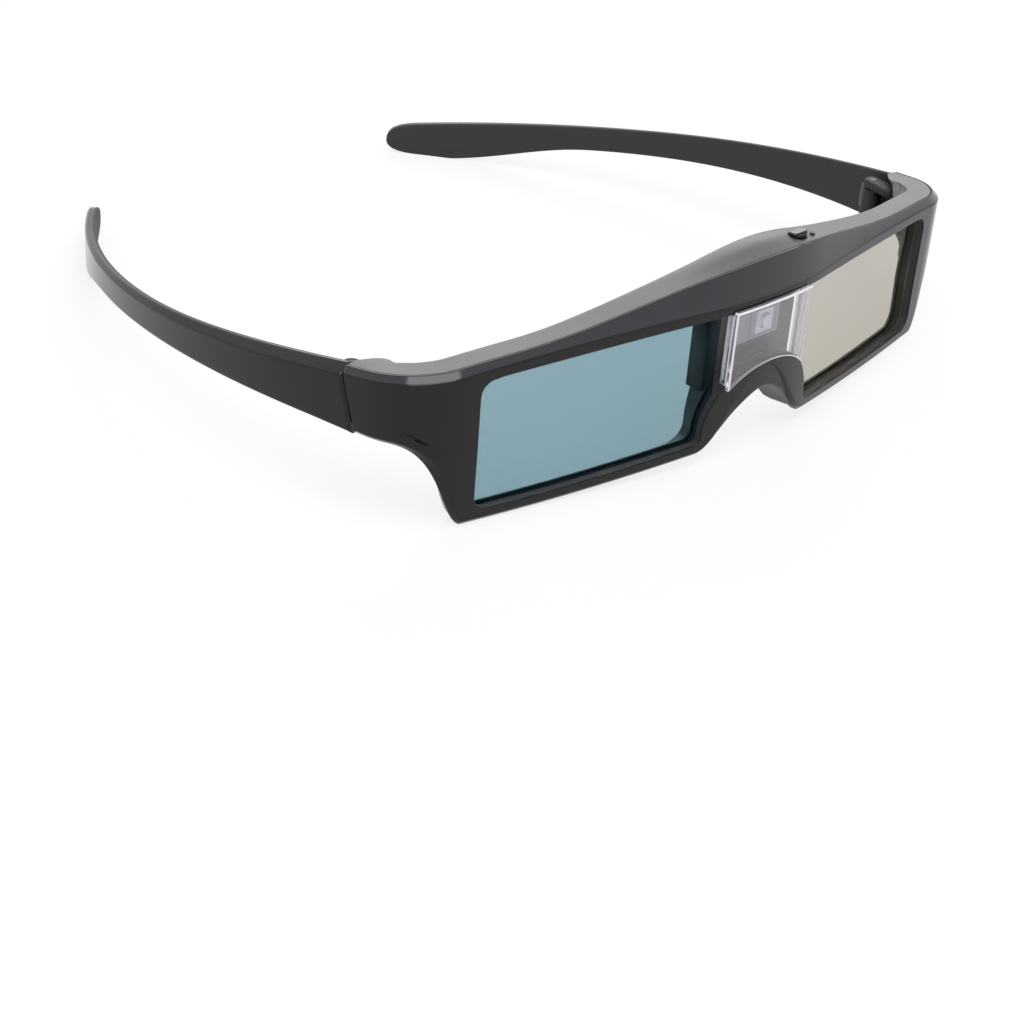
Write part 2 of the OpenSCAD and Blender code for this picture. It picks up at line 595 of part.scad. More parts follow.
// Main board lying in the bay, curved with the wall, with its chip, switch and battery
board_t = 0.8;
board_gap = 0.3;
board_low = bay_low(0) + snug;
board_top = board_low + board_t;
button_y = front_y + 5.2;
flange_h = 0.6;
flange_w = 0.45;
flange_top = bay_top(button_x + button_l / 2 + flange_w) - 3 * snug;
plunger_h = 0.4;
switch_top = flange_top - flange_h - button_travel - snug;
switch_h = switch_top - plunger_h - board_top;
button_floor = flange_top + snug;
function wall_line(n) = let (steps = 16)
    [for (i = [0:steps]) let (p = at(mix(-board_half, board_half, i / steps), n, 0)) [p.x, p.y]];
function roof_z(x) = part_z(x) + hump_z(x);
module circuit_board() color([0.05, 0.3, 0.16]) translate([0, 0, board_low]) linear_extrude(board_t)
    polygon(concat(wall_line(rear_n - board_gap), reverse(wall_line(bay_n + board_gap))));

// Pieces on the board: size, and place from the middle of the front
chip_size = [4, 3, 0.8];
chip_place = [2, 3];
battery_size = [13, 3.4, 2.6];
battery_place = [-13.5, 3.2];
module on_board(place, lift = 0) {
    translate([place.x, front_y + place.y, board_top + lift]) children();
}
module control_chip() color([0.08, 0.08, 0.09]) on_board(chip_place) cube(chip_size);
module battery() color([0.75, 0.75, 0.78]) on_board(battery_place, snug) cube(battery_size);
switch_l = 3.2;
switch_w = 2;
plunger_r = 0.6;
module tact_switch() color([0.75, 0.75, 0.74]) translate([button_x, button_y, board_top]) union() {
    translate([-switch_l / 2, -switch_w / 2, 0]) cube([switch_l, switch_w, switch_h]);
    cylinder(r = plunger_r, h = switch_h + plunger_h);
}
module pill(grow) {
    for (x = [-1, 1]) translate([x * (button_l - button_w) / 2, 0]) circle(r = button_w / 2 + grow);
    square([button_l - button_w, button_w + 2 * grow], center = true);
}
module power_button() color(gloss) translate([button_x, button_y, 0]) union() {
    translate([0, 0, flange_top - flange_h]) linear_extrude(flange_h) pill(flange_w);
    translate([0, 0, flange_top - eps])
        linear_extrude(roof_z(button_x) + button_up - flange_top + eps) pill(0);
}
module indicator_light() color([0.9, 0.92, 0.9]) translate([light_x, button_y, board_top])
    cylinder(r = light_r, h = roof_z(light_x) - board_top);
socket_wall = 0.35;
socket_end = 0.6;
module charge_socket() color(steel) difference() {
    sheet(1, socket_n + socket_d, socket_n) box_shape(socket_s, socket_w / 2, socket_z, socket_z + socket_h);
    sheet(1, socket_n + socket_d - socket_end, socket_n - over) box_shape(socket_s,
        socket_w / 2 - socket_wall, socket_z + socket_wall, socket_z + socket_h - socket_wall);
}

// Receiver behind the window
sensor_y = web_near - board_t;
sensor_half = 7;
sensor_margin = 2;
diode_w = 4.8;
diode_t = 1.2;
diode_x = 1;
diode_drop = 5.5;
dome_r = 1.7;
dome_top_r = 1.3;
dome_h = 0.7;
module sensor_board() color([0.75, 0.76, 0.74]) translate([-sensor_half, sensor_y, arch_z(0) + sensor_margin])
    cube([2 * sensor_half, board_t, middle_top - arch_z(0) - 2 * sensor_margin]);
module photodiode() color([0.55, 0.55, 0.62]) translate([diode_x, sensor_y, middle_top - diode_drop])
    rotate([90, 0, 0]) union() {
        translate([-diode_w / 2, -diode_w / 2, 0]) cube([diode_w, diode_w, diode_t]);
        translate([0, 0, diode_t]) cylinder(r1 = dome_r, r2 = dome_top_r, h = dome_h);
    }
module lens_tail(side) color([0.72, 0.45, 0.2]) sheet(side, tail_n + tail_t, tail_n)
    box_shape(tail_s, tail_w / 2, open_top(tail_s - tail_w / 2) + lens_lip + snug, tail_top - tail_gap);

front_frame();
rear_frame();
sensor_window();
nose_pad();
lens_cell(-1);  // right_lens_cell
lens_cell(1);  // left_lens_cell
front_film(-1);  // right_front_film
front_film(1);  // left_front_film
rear_film(-1);  // right_rear_film
rear_film(1);  // left_rear_film
temple(-1);  // right_temple
temple(1);  // left_temple
hinge_screw(-1);  // right_hinge_screw
hinge_screw(1);  // left_hinge_screw
frame_screws();
circuit_board();
control_chip();
sensor_board();
photodiode();
battery();
charge_socket();
tact_switch();
power_button();
indicator_light();
lens_tail(-1);  // right_lens_tail
lens_tail(1);  // left_lens_tail
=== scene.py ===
"""Looks of the shutter glasses: smooth glossy shells, temples and saddle round the CAD frame."""
import math

import bmesh
import bpy
import numpy as np
from mathutils import Matrix, Vector


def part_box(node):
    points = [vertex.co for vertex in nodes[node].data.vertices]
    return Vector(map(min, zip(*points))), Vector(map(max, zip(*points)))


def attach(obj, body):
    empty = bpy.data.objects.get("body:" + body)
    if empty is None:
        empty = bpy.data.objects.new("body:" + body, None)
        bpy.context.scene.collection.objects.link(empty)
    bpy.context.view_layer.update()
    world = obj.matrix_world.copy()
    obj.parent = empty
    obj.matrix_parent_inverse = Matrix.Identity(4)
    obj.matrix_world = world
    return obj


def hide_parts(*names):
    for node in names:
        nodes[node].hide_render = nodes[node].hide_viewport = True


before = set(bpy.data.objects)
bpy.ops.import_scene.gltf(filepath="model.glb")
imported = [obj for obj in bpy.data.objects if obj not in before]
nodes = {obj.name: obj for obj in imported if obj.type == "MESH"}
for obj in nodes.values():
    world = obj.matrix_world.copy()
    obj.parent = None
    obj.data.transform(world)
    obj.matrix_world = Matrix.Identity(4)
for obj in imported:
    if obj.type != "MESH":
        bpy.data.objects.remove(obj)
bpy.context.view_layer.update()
MM = 0.001
TINY, SLOPE_E = 1e-6, 0.01  # what counts as no length, and the step for slopes

# The part's own sizes, in mm
OPENING_HALF, OPENING_H, OPENING_RISE, OPENING_R = 65.5, 26.4, 2.9, 3.0
LOW_RISE, RIM_H, BEZEL_H, BROW_H, BROW_HALF = 4.0, 2.6, 1.4, 6.25, 58.0
BEVEL_H, CREASE_DROP, HUMP_H, HUMP_HALF = 1.25, 5.4, 1.4, 28.0
BRIDGE_R, WRAP, CORNER_GAP, CORNER_R, SIDE = 80.0, 12.3, 2.8, 17.0, 80.0
END_LEN, SEAM_LEAN, END_LOW, END_GAP, END_RISE, RISE_TURN = 5.0, 3.5, 17.0, 4.4, 14.5, 0.16
LIP_W, LIP_D, LIP_RUN, SHELL_T, SHELL_GAP, SHELL_STEP = 3.4, 0.9, 0.4, 1.7, 0.2, 0.35
FRAME_D, SIDE_D, RIM_LIP, BACK_R, EDGE_R, EDGE_LAND = 9.6, 7.4, 0.8, 1.8, 0.9, 0.3
TOP_RUN, RIM_RUN, END_SWELL, HOLD_SHARE, BRIM_W, BRIM_SHARE = 24.0, 12.0, 3.0, 0.35, 1.0, 0.5
ARCH_HALF, ARCH_H, FOOT_R, NOSE_HALF, NOSE_H = 15.8, 15.25, 1.5, 16.7, 16.0
CELL_T, FILM_T, LENS_LIP, LENS_GAP = 1.2, 0.2, 1.1, 0.2
BOW_R, TEMPLE_LEN, FALL, WAIST = 155.0, 140.0, 0.17, 6.0
TEMPLE_T, TIP_T, SEAM_GAP = 3.8, 2.3, 0.35
PAD_D, WINDOW_PROUD = 9.6, 1.0
OPENING_POWER, CREASE_POWER = 1.3, 2.2


def rad(a):
    return math.radians(a)


S_BRIDGE = BRIDGE_R * rad(WRAP)
S_OPEN = S_BRIDGE + (OPENING_HALF - BRIDGE_R * math.sin(rad(WRAP))) / math.cos(rad(WRAP))
S_CORNER = S_OPEN + CORNER_GAP
S_SIDE = S_CORNER + CORNER_R * rad(SIDE - WRAP)
S_SEAM = S_SIDE + END_LEN
S_SEAM_LOW = S_SEAM - SEAM_LEAN
S_ROUND = S_OPEN - OPENING_R
S_FOOT = ARCH_HALF + FOOT_R
MIDDLE_TOP = RIM_H + OPENING_H + OPENING_RISE


def heading(s):
    if s < S_BRIDGE:
        return math.degrees(s / BRIDGE_R)
    if s < S_CORNER:
        return WRAP
    if s < S_SIDE:
        return WRAP + math.degrees((s - S_CORNER) / CORNER_R)
    if s < S_SEAM:
        return SIDE
    return SIDE + math.degrees((s - S_SEAM) / BOW_R)


def along(a, d):
    return np.array([d * math.cos(rad(a)), d * math.sin(rad(a))])


def arc_step(r, a, b):
    a, b = rad(a), rad(b)
    return np.array([r * (math.sin(b) - math.sin(a)), r * (math.cos(a) - math.cos(b))])


def plan(s):
    p = arc_step(BRIDGE_R, 0, heading(min(s, S_BRIDGE)))
    p = p + along(WRAP, max(0, min(s, S_CORNER) - S_BRIDGE))
    if s > S_CORNER:
        p = p + arc_step(CORNER_R, WRAP, heading(min(s, S_SIDE)))
    p = p + along(SIDE, max(0, min(s, S_SEAM) - S_SIDE))
    if s > S_SEAM:
        p = p + arc_step(BOW_R, SIDE, heading(s))
    return p


FRONT_Y = (WINDOW_PROUD - plan(S_SEAM + TEMPLE_LEN)[1]) / 2


def at(s, n, z):
    """Point at arc length s, n in front of the plan curve and z up."""
    p, a = plan(abs(s)), rad(heading(abs(s)))
    return (math.copysign(1, s) * (p[0] + n * math.sin(a)), FRONT_Y + p[1] - n * math.cos(a), z)


def ease(t):
    return (1 - math.cos(math.pi * max(0, min(1, t)))) / 2


def mix(a, b, t):
    return a + (b - a) * t


def open_top(s):
    return MIDDLE_TOP - OPENING_RISE * (abs(s) / S_OPEN) ** OPENING_POWER


def rim_low(s):
    return LOW_RISE * max(0, 1 - abs(s) / S_OPEN) ** 2


def open_low(s):
    return RIM_H + rim_low(s)


ARCH_FOOT = open_low(ARCH_HALF) + FOOT_R


def arch_z(s):
    return ARCH_FOOT + (ARCH_H - FOOT_R) * math.sqrt(max(0, 1 - (s / ARCH_HALF) ** 2))


def nose_z(s):
    return rim_low(NOSE_HALF) + NOSE_H * (1 - ease(abs(s) / NOSE_HALF))


def bend(s):
    u = (abs(s) - S_OPEN - END_GAP) / END_RISE
    if u < -RISE_TURN:
        return 0
    return (u + RISE_TURN) ** 2 / (4 * RISE_TURN) if u < RISE_TURN else u


def end_rise(s):
    return 1 - (1 - min(1, bend(s))) ** 3


def low_z(s):
    if abs(s) < NOSE_HALF:
        return nose_z(s)
    return rim_low(s) + END_LOW * end_rise(s)


def crease_z(s):
    return MIDDLE_TOP + BEZEL_H - CREASE_DROP * (abs(s) / S_SEAM) ** CREASE_POWER


def part_z(s):
    return crease_z(s) + BEVEL_H + BROW_H * (1 - ease(abs(s) / BROW_HALF))


def hump_z(s):
    return HUMP_H * (1 - ease(abs(s) / HUMP_HALF))


SEAM_TOP, SEAM_LOW = part_z(S_SEAM), low_z(S_SEAM_LOW)
REAR_N = -SHELL_T - SHELL_GAP
SEAT_N = REAR_N - CELL_T - 2 * FILM_T - 2 * LENS_GAP


def depth(s):
    d = mix(FRAME_D, SIDE_D, ease(abs(s) / BROW_HALF))
    return mix(d, TEMPLE_T, ease((abs(s) - S_SIDE + END_LEN) / (2 * END_LEN)))


RIM_D = RIM_LIP - SEAT_N


def rim_d(p):
    s = abs(p[0])
    full = depth(s)
    if p[1] > MIDDLE_TOP / 2 + RIM_H:
        t = (s - S_ROUND) / TOP_RUN + 1
    else:
        t = (s - ARCH_HALF) / RIM_RUN + 0.5
    return mix(full, min(full, RIM_D), ease(t))


def vec(*v):
    return np.array(v, float)


# Stations round the opening
ARCH_N, FOOT_N, RIM_N, LOW_ARC_N, TOP_ARC_N, LIP_N, SEAM_N, TOP_N = 40, 10, 40, 24, 12, 56, 12, 46
END_N = LIP_N + SEAM_N + TOP_N
S_TURN = S_OPEN + END_GAP - RISE_TURN * END_RISE
FLAT_SHARE, END_CROWD, LIP_CROWD = 0.2, 0.18, 1.6
NOSE_DROP, NOSE_LEAD, NOSE_SLOW, NOSE_SHARE = 0.1, 1.08, 0.36, 0.72


def inner_end(k):
    """Point k of the opening's outer side, from its lower corner to its upper one."""
    low = vec(S_ROUND, open_low(S_OPEN) + OPENING_R)
    top = vec(S_ROUND, open_top(S_OPEN) - OPENING_R)
    if k <= LOW_ARC_N:
        a = rad(-90 + 90 * k / LOW_ARC_N)
        return low + OPENING_R * vec(math.cos(a), math.sin(a))
    if k >= END_N - TOP_ARC_N:
        a = rad(90 * (k - END_N + TOP_ARC_N) / TOP_ARC_N)
        return top + OPENING_R * vec(math.cos(a), math.sin(a))
    t = (k - LOW_ARC_N) / (END_N - LOW_ARC_N - TOP_ARC_N)
    return vec(S_OPEN, mix(low[1], top[1], t ** END_CROWD))


def lip_s(t):
    if t < FLAT_SHARE:
        return mix(S_ROUND, S_TURN, t / FLAT_SHARE)
    return mix(S_TURN, S_SEAM_LOW, ((t - FLAT_SHARE) / (1 - FLAT_SHARE)) ** LIP_CROWD)


def outer_end(k):
    """Point k of the frame's end, and whether it lies on the lower edge, the seam or the top."""
    if k <= LIP_N:
        s = lip_s(k / LIP_N)
        return vec(s, low_z(s)), "low"
    k -= LIP_N
    if k <= SEAM_N:
        t = k / SEAM_N
        if t < 1:
            t *= (crease_z(S_SEAM) - 2 * EDGE_LAND - SEAM_LOW) / (SEAM_TOP - SEAM_LOW)
        return mix(vec(S_SEAM_LOW, SEAM_LOW), vec(S_SEAM, SEAM_TOP), t), "top" if t == 1 else "seam"
    s = mix(S_SEAM, S_ROUND, (k - SEAM_N) / TOP_N)
    return vec(s, part_z(s)), "top"


def stations():
    """Inner and outer points (s, z) all round the frame, with the kind of the outer one."""
    half = []
    for i in range(ARCH_N + 1):
        t = i / ARCH_N
        s, o = ARCH_HALF * math.sin(rad(90 * t)), NOSE_HALF * (NOSE_LEAD * t - NOSE_SLOW * t * t)
        half.append((vec(s, arch_z(s)), vec(o, low_z(o)), "low"))
    for i in range(1, FOOT_N + 1):
        t = i / FOOT_N
        o = mix(NOSE_HALF * NOSE_SHARE, S_FOOT, t)
        z = mix(open_low(S_FOOT), ARCH_FOOT, 1 - math.sin(rad(90 * t)))
        half.append((vec(S_FOOT - FOOT_R * math.cos(rad(90 * t)), z), vec(o, low_z(o)), "low"))
    for i in range(1, RIM_N):
        s = mix(S_FOOT, S_ROUND, i / RIM_N)
        half.append((vec(s, open_low(s)), vec(s, low_z(s)), "low"))
    for k in range(END_N + 1):
        o, kind = outer_end(k)
        half.append((inner_end(k), o, kind))
    for i in range(1, TOP_N + 1):
        s = S_ROUND * (1 - i / TOP_N)
        half.append((vec(s, open_top(s)), vec(s, part_z(s)), "top"))
    flip = vec(-1, 1)
    other = [(i * flip, o * flip, k) for i, o, k in half if i[0] > TINY]
    return half + other[::-1]


def inset(p, d):
    """The point p of the lower edge, moved into the frame by d."""
    v = vec(-(low_z(p[0] + SLOPE_E) - low_z(p[0] - SLOPE_E)), 2 * SLOPE_E)
    return p + d * v / np.linalg.norm(v)


def toward(a, b, d):
    v = b - a
    return a + v * min(1, d / np.linalg.norm(v))


def nose_drop(s):
    return mix(NOSE_DROP, LIP_D, ease(abs(s) / NOSE_HALF))


def swell(s):
    return ease(bend(s) / LIP_RUN) * (1 - end_rise(s) ** 2)


# Loops with rounded corners
ROUND_STEPS, ROUND_SHARE = 4, 0.45


def loop(keys, subs):
    """Closed line through keys [(point (s, z, n), radius)], rounded at each, divided between them.
    Returns its points and, for each, the number of the edge that follows it."""
    pts, tags, m = [], [], len(keys)
    ends = []
    for j, (p, r) in enumerate(keys):
        a, b = keys[j - 1][0], keys[(j + 1) % m][0]
        la, lb = np.linalg.norm(a - p), np.linalg.norm(b - p)
        d = min(r, ROUND_SHARE * la, ROUND_SHARE * lb)
        ends.append((p + (a - p) * d / max(la, TINY), p + (b - p) * d / max(lb, TINY)))
    for j, (p, r) in enumerate(keys):
        e0, e1 = ends[j]
        for k in range(ROUND_STEPS + 1):
            t = k / ROUND_STEPS
            pts.append((1 - t) ** 2 * e0 + 2 * t * (1 - t) * p + t * t * e1)
            tags.append(j if k == ROUND_STEPS else j - 0.5)
        nxt = ends[(j + 1) % m][0]
        for k in range(1, subs[j] + 1):
            pts.append(mix(e1, nxt, k / (subs[j] + 1)))
            tags.append(j)
    return pts, tags


def p3(p, n):
    return vec(p[0], p[1], n)


# Radii of the shells' corners, then the divisions of their sides
MOUTH_R, CREASE_R, TURN_R, SHARP_R, CROWN_R = 0.3, 0.35, 0.12, 0.05, 1.2
BACK_TURN, BACK_SHARE = 1.35, 0.4
FRONT_SUBS, REAR_SUBS, BACK_EDGE = (64, 6, 0, 10, 1), (8, 3, 4, 12, 2, 1, 1), 3
BROW_TAG, WALL_TAG = 1.2, 3.7  # tag of the brow, and the one past which the opening's wall lies
BOSS_S, BOSS_RUN, BOSS_H, LOBE_D = 91.3, 5.0, 0.25, 2.8
DENT_FROM, DENT_TO = vec(84.0, 21.0), vec(75.2, 17.2)
DENT_W, DENT_D, DENT_SKEW = 0.55, 0.6, 1.2


def front_keys(st):
    i, o, kind = st
    if kind == "top":
        z = crease_z(o[0])
        most = S_SEAM - EDGE_LAND - SEAM_LEAN * (SEAM_TOP - z) / (SEAM_TOP - SEAM_LOW)
        crease, drop = vec(max(-most, min(most, o[0])), z), SHELL_T - EDGE_LAND
    elif kind == "seam":
        crease, drop = toward(o, i, EDGE_LAND), EDGE_LAND
    else:
        drop = nose_drop(o[0])
        crease = inset(o, mix(drop, LIP_W, swell(abs(o[0]))))
    return [(p3(i, 0), MOUTH_R), (p3(crease, 0), CREASE_R), (p3(o, -drop), TURN_R),
            (p3(o, -SHELL_T), SHARP_R), (p3(i, -SHELL_T), SHARP_R)]


def dent(s, z):
    """Depth of the short crease with which the lip starts on the end curve."""
    run, q = DENT_TO - DENT_FROM, vec(abs(s), z) - DENT_FROM
    t = run @ q / (run @ run)
    if not 0 < t < 1:
        return 0
    w = math.sin(math.pi * t ** DENT_SKEW)
    off = abs(run[0] * q[1] - run[1] * q[0]) / np.linalg.norm(run)
    return DENT_D * w * ease(1 - off / (DENT_W * w))


def front_row(st):
    """The front shell's section, with its brow told apart from the chamfer below, for the brow's
    painted reflection.
    """
    pts, tags = loop(front_keys(st), FRONT_SUBS)
    pts = [p3(p[:2], p[2] - dent(p[0], p[1])) if abs(p[2]) < TINY else p for p in pts]
    return pts, [BROW_TAG if tag == 1 and st[2] == "top" else tag for tag in tags]


def front_paint(tag):
    """Number of the material: 0 gloss, 1 the dull wall of the opening, 2 the brow, the same gloss
    painted lighter and bluer as a painted reflection.
    """
    return 2 if tag == BROW_TAG else 1 if tag > WALL_TAG else 0


def boss_z(s):
    return BOSS_H * ease(1 - abs(abs(s) - BOSS_S) / BOSS_RUN)


def rear_keys(st):
    i, o, kind = st
    top = kind == "top"
    if kind == "low":
        o = inset(o, SHELL_STEP)
    n, n_in = -(rim_d(o) if kind == "low" else depth(o[0])), -rim_d(i)
    if top:
        n -= LOBE_D * boss_z(o[0]) / BOSS_H
    r = min(BACK_R if top else EDGE_R, BACK_SHARE * (REAR_N - n))
    seat = toward(i, o, LENS_LIP + LENS_GAP)
    up = vec(0, hump_z(o[0]) + boss_z(o[0]) if top else 0)
    brim = toward(i, o, min(BRIM_W, BRIM_SHARE * (np.linalg.norm(o - i) - r)))
    return [(p3(seat, REAR_N), SHARP_R), (p3(o, REAR_N), TURN_R),
            (p3(o + up, (REAR_N + n) / 2), CROWN_R), (p3(o + up, n), BACK_TURN * r),
            (p3(brim, n_in), MOUTH_R), (p3(mix(i, seat, HOLD_SHARE), SEAT_N), SHARP_R),
            (p3(seat, SEAT_N), SHARP_R)]


def rear_row(st):
    """The rear shell's section, its back face swollen between the opening and the end."""
    pts, tags = loop(rear_keys(st), REAR_SUBS)
    bulge = END_SWELL * ease((abs(st[1][0]) - S_OPEN) / (S_SIDE - S_OPEN))
    at_edge = [j for j, tag in enumerate(tags) if tag == BACK_EDGE]
    for k, j in enumerate(at_edge):
        pts[j] = pts[j] - vec(0, 0, bulge * math.sin(math.pi * k / len(at_edge)))
    return pts, tags


SKIN_ANGLE, PRISM_ANGLE = 50, 40  # an edge that turns by more stays sharp


def wall_normal(p):
    a = rad(heading(abs(p[0])))
    return (math.copysign(1, p[0]) * math.sin(a), -math.cos(a), 0)


def weigh_normals(me, fixed=()):
    """Shade each smooth vertex by its larger faces, so that narrow roundings don't bend the light
    on wide ones. fixed gives some vertices their normal."""
    total = np.zeros((len(me.vertices), 3))
    for f in me.polygons:
        total[list(f.vertices)] += np.array(f.normal) * f.area
    for e in me.edges:
        if e.use_edge_sharp:
            total[list(e.vertices)] = 0
    for k, v in fixed:
        total[k] = v
    size = np.linalg.norm(total, axis=1, keepdims=True)
    me.normals_split_custom_set_from_vertices((total / np.where(size > 0, size, 1)).tolist())


def mesh_object(name, rows, closed, mats, paint=None, wall=False):
    """A smooth skin through rows of (points, tags). paint gives a face's material number from its
    tag, and with wall the points at n = 0 take the plan curve's own normal."""
    points = [p for pts, _ in rows for p in pts]
    verts = [tuple(c * MM for c in at(p[0], p[2], p[1])) for p in points]
    n, c = len(rows), len(rows[0][0])
    faces, numbers = [], []
    for i in range(n if closed else n - 1):
        a, b = i * c, (i + 1) % n * c
        for j in range(c):
            k = (j + 1) % c
            faces.append((a + j, b + j, b + k, a + k))
            numbers.append(paint(rows[i][1][j]) if paint else 0)
    if not closed:
        faces += [tuple(range(c)), tuple(range((n - 1) * c, n * c))]
        numbers += [0, 0]
    me = bpy.data.meshes.new(name)
    me.from_pydata(verts, [], faces)
    me.validate()
    for m in mats:
        me.materials.append(m)
    me.polygons.foreach_set("material_index", numbers)
    me.polygons.foreach_set("use_smooth", [True] * len(me.polygons))
    bm = bmesh.new()
    bm.from_mesh(me)
    bmesh.ops.recalc_face_normals(bm, faces=bm.faces)
    bm.to_mesh(me)
    bm.free()
    me.set_sharp_from_angle(angle=rad(SKIN_ANGLE))
    on_wall = [(k, wall_normal(p)) for k, p in enumerate(points) if wall and abs(p[2]) < TINY]
    weigh_normals(me, on_wall)
    ob = bpy.data.objects.new(name, me)
    bpy.context.scene.collection.objects.link(ob)
    return ob


# Materials
WIDE_SCALE, DRIFT_SCALE, BRUSH_SCALE = 60.0, 25.0, 900.0
TINT, BRUSH, BUMP_DEPTH, COAT_ROUGH = 0.12, 0.2, 0.0002, 0.02


def new_material(name):
    m = bpy.data.materials.new(name)
    m.use_nodes = True
    t = m.node_tree
    return m, t, t.nodes["Principled BSDF"]


def add(tree, kind, **sockets):
    nd = tree.nodes.new(kind)
    for k, v in sockets.items():
        nd.inputs[k.replace("_", " ")].default_value = v
    return nd


def moulded(name, color, rough, spread, bump, scale, spec=0.5):
    """Moulded plastic: colour and gloss vary a little over the piece, with a fine texture."""
    m, t, b = new_material(name)
    co = add(t, "ShaderNodeTexCoord")
    wide = add(t, "ShaderNodeTexNoise", Scale=WIDE_SCALE, Detail=3.0)
    fine = add(t, "ShaderNodeTexNoise", Scale=scale, Detail=2.0)
    for nz in (wide, fine):
        t.links.new(co.outputs["Object"], nz.inputs["Vector"])
    ramp = add(t, "ShaderNodeMapRange")
    ramp.inputs["To Min"].default_value = rough - spread
    ramp.inputs["To Max"].default_value = rough + spread
    t.links.new(wide.outputs["Fac"], ramp.inputs["Value"])
    t.links.new(ramp.outputs["Result"], b.inputs["Roughness"])
    col = add(t, "ShaderNodeValToRGB")
    col.color_ramp.elements[0].color = [c * (1 - TINT) for c in color] + [1]
    col.color_ramp.elements[1].color = [c * (1 + TINT) for c in color] + [1]
    t.links.new(wide.outputs["Fac"], col.inputs["Fac"])
    t.links.new(col.outputs["Color"], b.inputs["Base Color"])
    bp = add(t, "ShaderNodeBump", Strength=bump, Distance=BUMP_DEPTH)
    t.links.new(fine.outputs["Fac"], bp.inputs["Height"])
    t.links.new(bp.outputs["Normal"], b.inputs["Normal"])
    b.inputs["Specular IOR Level"].default_value = spec
    return m


def clear(name, color, ior, rough=0.0, coat=0.0, streak=0.0, haze=0.0):
    """Clear filter or plastic, tinted, with a faint drift of its tint."""
    m, t, b = new_material(name)
    co = add(t, "ShaderNodeTexCoord")
    nz = add(t, "ShaderNodeTexNoise", Scale=DRIFT_SCALE, Detail=1.0)
    t.links.new(co.outputs["Object"], nz.inputs["Vector"])
    col = add(t, "ShaderNodeValToRGB")
    col.color_ramp.elements[0].color = [c * (1 - streak) for c in color] + [1]
    col.color_ramp.elements[1].color = list(color) + [1]
    t.links.new(nz.outputs["Fac"], col.inputs["Fac"])
    t.links.new(col.outputs["Color"], b.inputs["Base Color"])
    b.inputs["Transmission Weight"].default_value = 1.0 - haze
    b.inputs["IOR"].default_value = ior
    b.inputs["Roughness"].default_value = rough
    b.inputs["Coat Weight"].default_value = coat
    b.inputs["Coat Roughness"].default_value = COAT_ROUGH
    return m


def metal(name, color, rough):
    """Plain metal with a fine unevenness of its gloss."""
    m, t, b = new_material(name)
    co = add(t, "ShaderNodeTexCoord")
    nz = add(t, "ShaderNodeTexNoise", Scale=BRUSH_SCALE, Detail=2.0)
    t.links.new(co.outputs["Object"], nz.inputs["Vector"])
    ramp = add(t, "ShaderNodeMapRange")
    ramp.inputs["To Min"].default_value = rough * (1 - BRUSH)
    ramp.inputs["To Max"].default_value = rough * (1 + BRUSH)
    t.links.new(nz.outputs["Fac"], ramp.inputs["Value"])
    t.links.new(ramp.outputs["Result"], b.inputs["Roughness"])
    b.inputs["Base Color"].default_value = color + (1,)
    b.inputs["Metallic"].default_value = 1.0
    return m


GLOSS = moulded("gloss_black", (0.007, 0.0065, 0.007), 0.11, 0.02, 0.015, 900, 0.3)
# The brow is the same gloss black as the rest of the shell, painted lighter and bluer: a painted
# reflection of the room above it.
BROW_PAINTED_REFLECTION = moulded("brow_painted_reflection", (0.019, 0.0185, 0.0245), 0.1, 0.02, 0.015, 900, 0.5)
MATTE = moulded("matte_black", (0.07, 0.069, 0.07), 0.44, 0.04, 0.16, 5200, 0.65)
INNER = moulded("matte_inner", (0.032, 0.031, 0.031), 0.62, 0.04, 0.12, 5200, 0.3)
RUBBER = moulded("nose_rubber", (0.02, 0.02, 0.021), 0.5, 0.05, 0.1, 4000, 0.4)
STEEL = metal("steel", (0.62, 0.63, 0.65), 0.28)
DARK_STEEL = metal("dark_steel", (0.09, 0.09, 0.095), 0.4)
FOIL = metal("cell_foil", (0.7, 0.7, 0.72), 0.35)
BOARD = moulded("board", (0.02, 0.16, 0.07), 0.4, 0.05, 0.05, 2500)
PALE = moulded("pale_board", (0.36, 0.35, 0.38), 0.5, 0.05, 0.03, 2500)
CHIP = moulded("chip", (0.015, 0.015, 0.016), 0.5, 0.05, 0.05, 3000)
DIODE = moulded("diode", (0.7, 0.68, 0.74), 0.25, 0.05, 0.02, 1500)
FLEX = moulded("flex", (0.5, 0.24, 0.06), 0.4, 0.05, 0.03, 2500)
PIPE = moulded("light_pipe", (0.05, 0.05, 0.05), 0.55, 0.04, 0.02, 1500)
# Both lens cells are the same glass. The teal of the near one and the beige of the far one are
# painted: each is the colour shift that lens shows at its angle to the camera.
NEAR_CELL_VIEW_TINT = clear("right_lens_painted_view_tint", (0.27, 0.41, 0.46), 1.0, streak=0.02)
FAR_CELL_VIEW_TINT = clear("left_lens_painted_view_tint", (0.58, 0.55, 0.49), 1.0, streak=0.02)
FILM = clear("lens_film", (0.98, 0.985, 0.985), 1.0, coat=0.02, streak=0.01)
WINDOW = clear("clear_plastic", (0.94, 0.92, 0.96), 1.2, rough=0.02, coat=0.3, streak=0.02,
               haze=0.07)
# The window's rounded edges are the same clear plastic; this pale, opaque colour on them is a
# painted highlight.
CLEAR_EDGE_HIGHLIGHT = moulded("clear_edge_painted_highlight", (0.85, 0.84, 0.87), 0.25, 0.05, 0.02, 1500)
# The saddle is one rubber; its underside is the same rubber painted lighter, as painted light on
# its matte face.
UNDERSIDE_PAINTED_LIGHT = moulded("saddle_underside_painted_light", (0.05, 0.049, 0.051), 0.5, 0.05, 0.1, 4000, 0.5)


def dress(mat, *names):
    for n in names:
        me = nodes[n].data
        me.materials.clear()
        me.materials.append(mat)


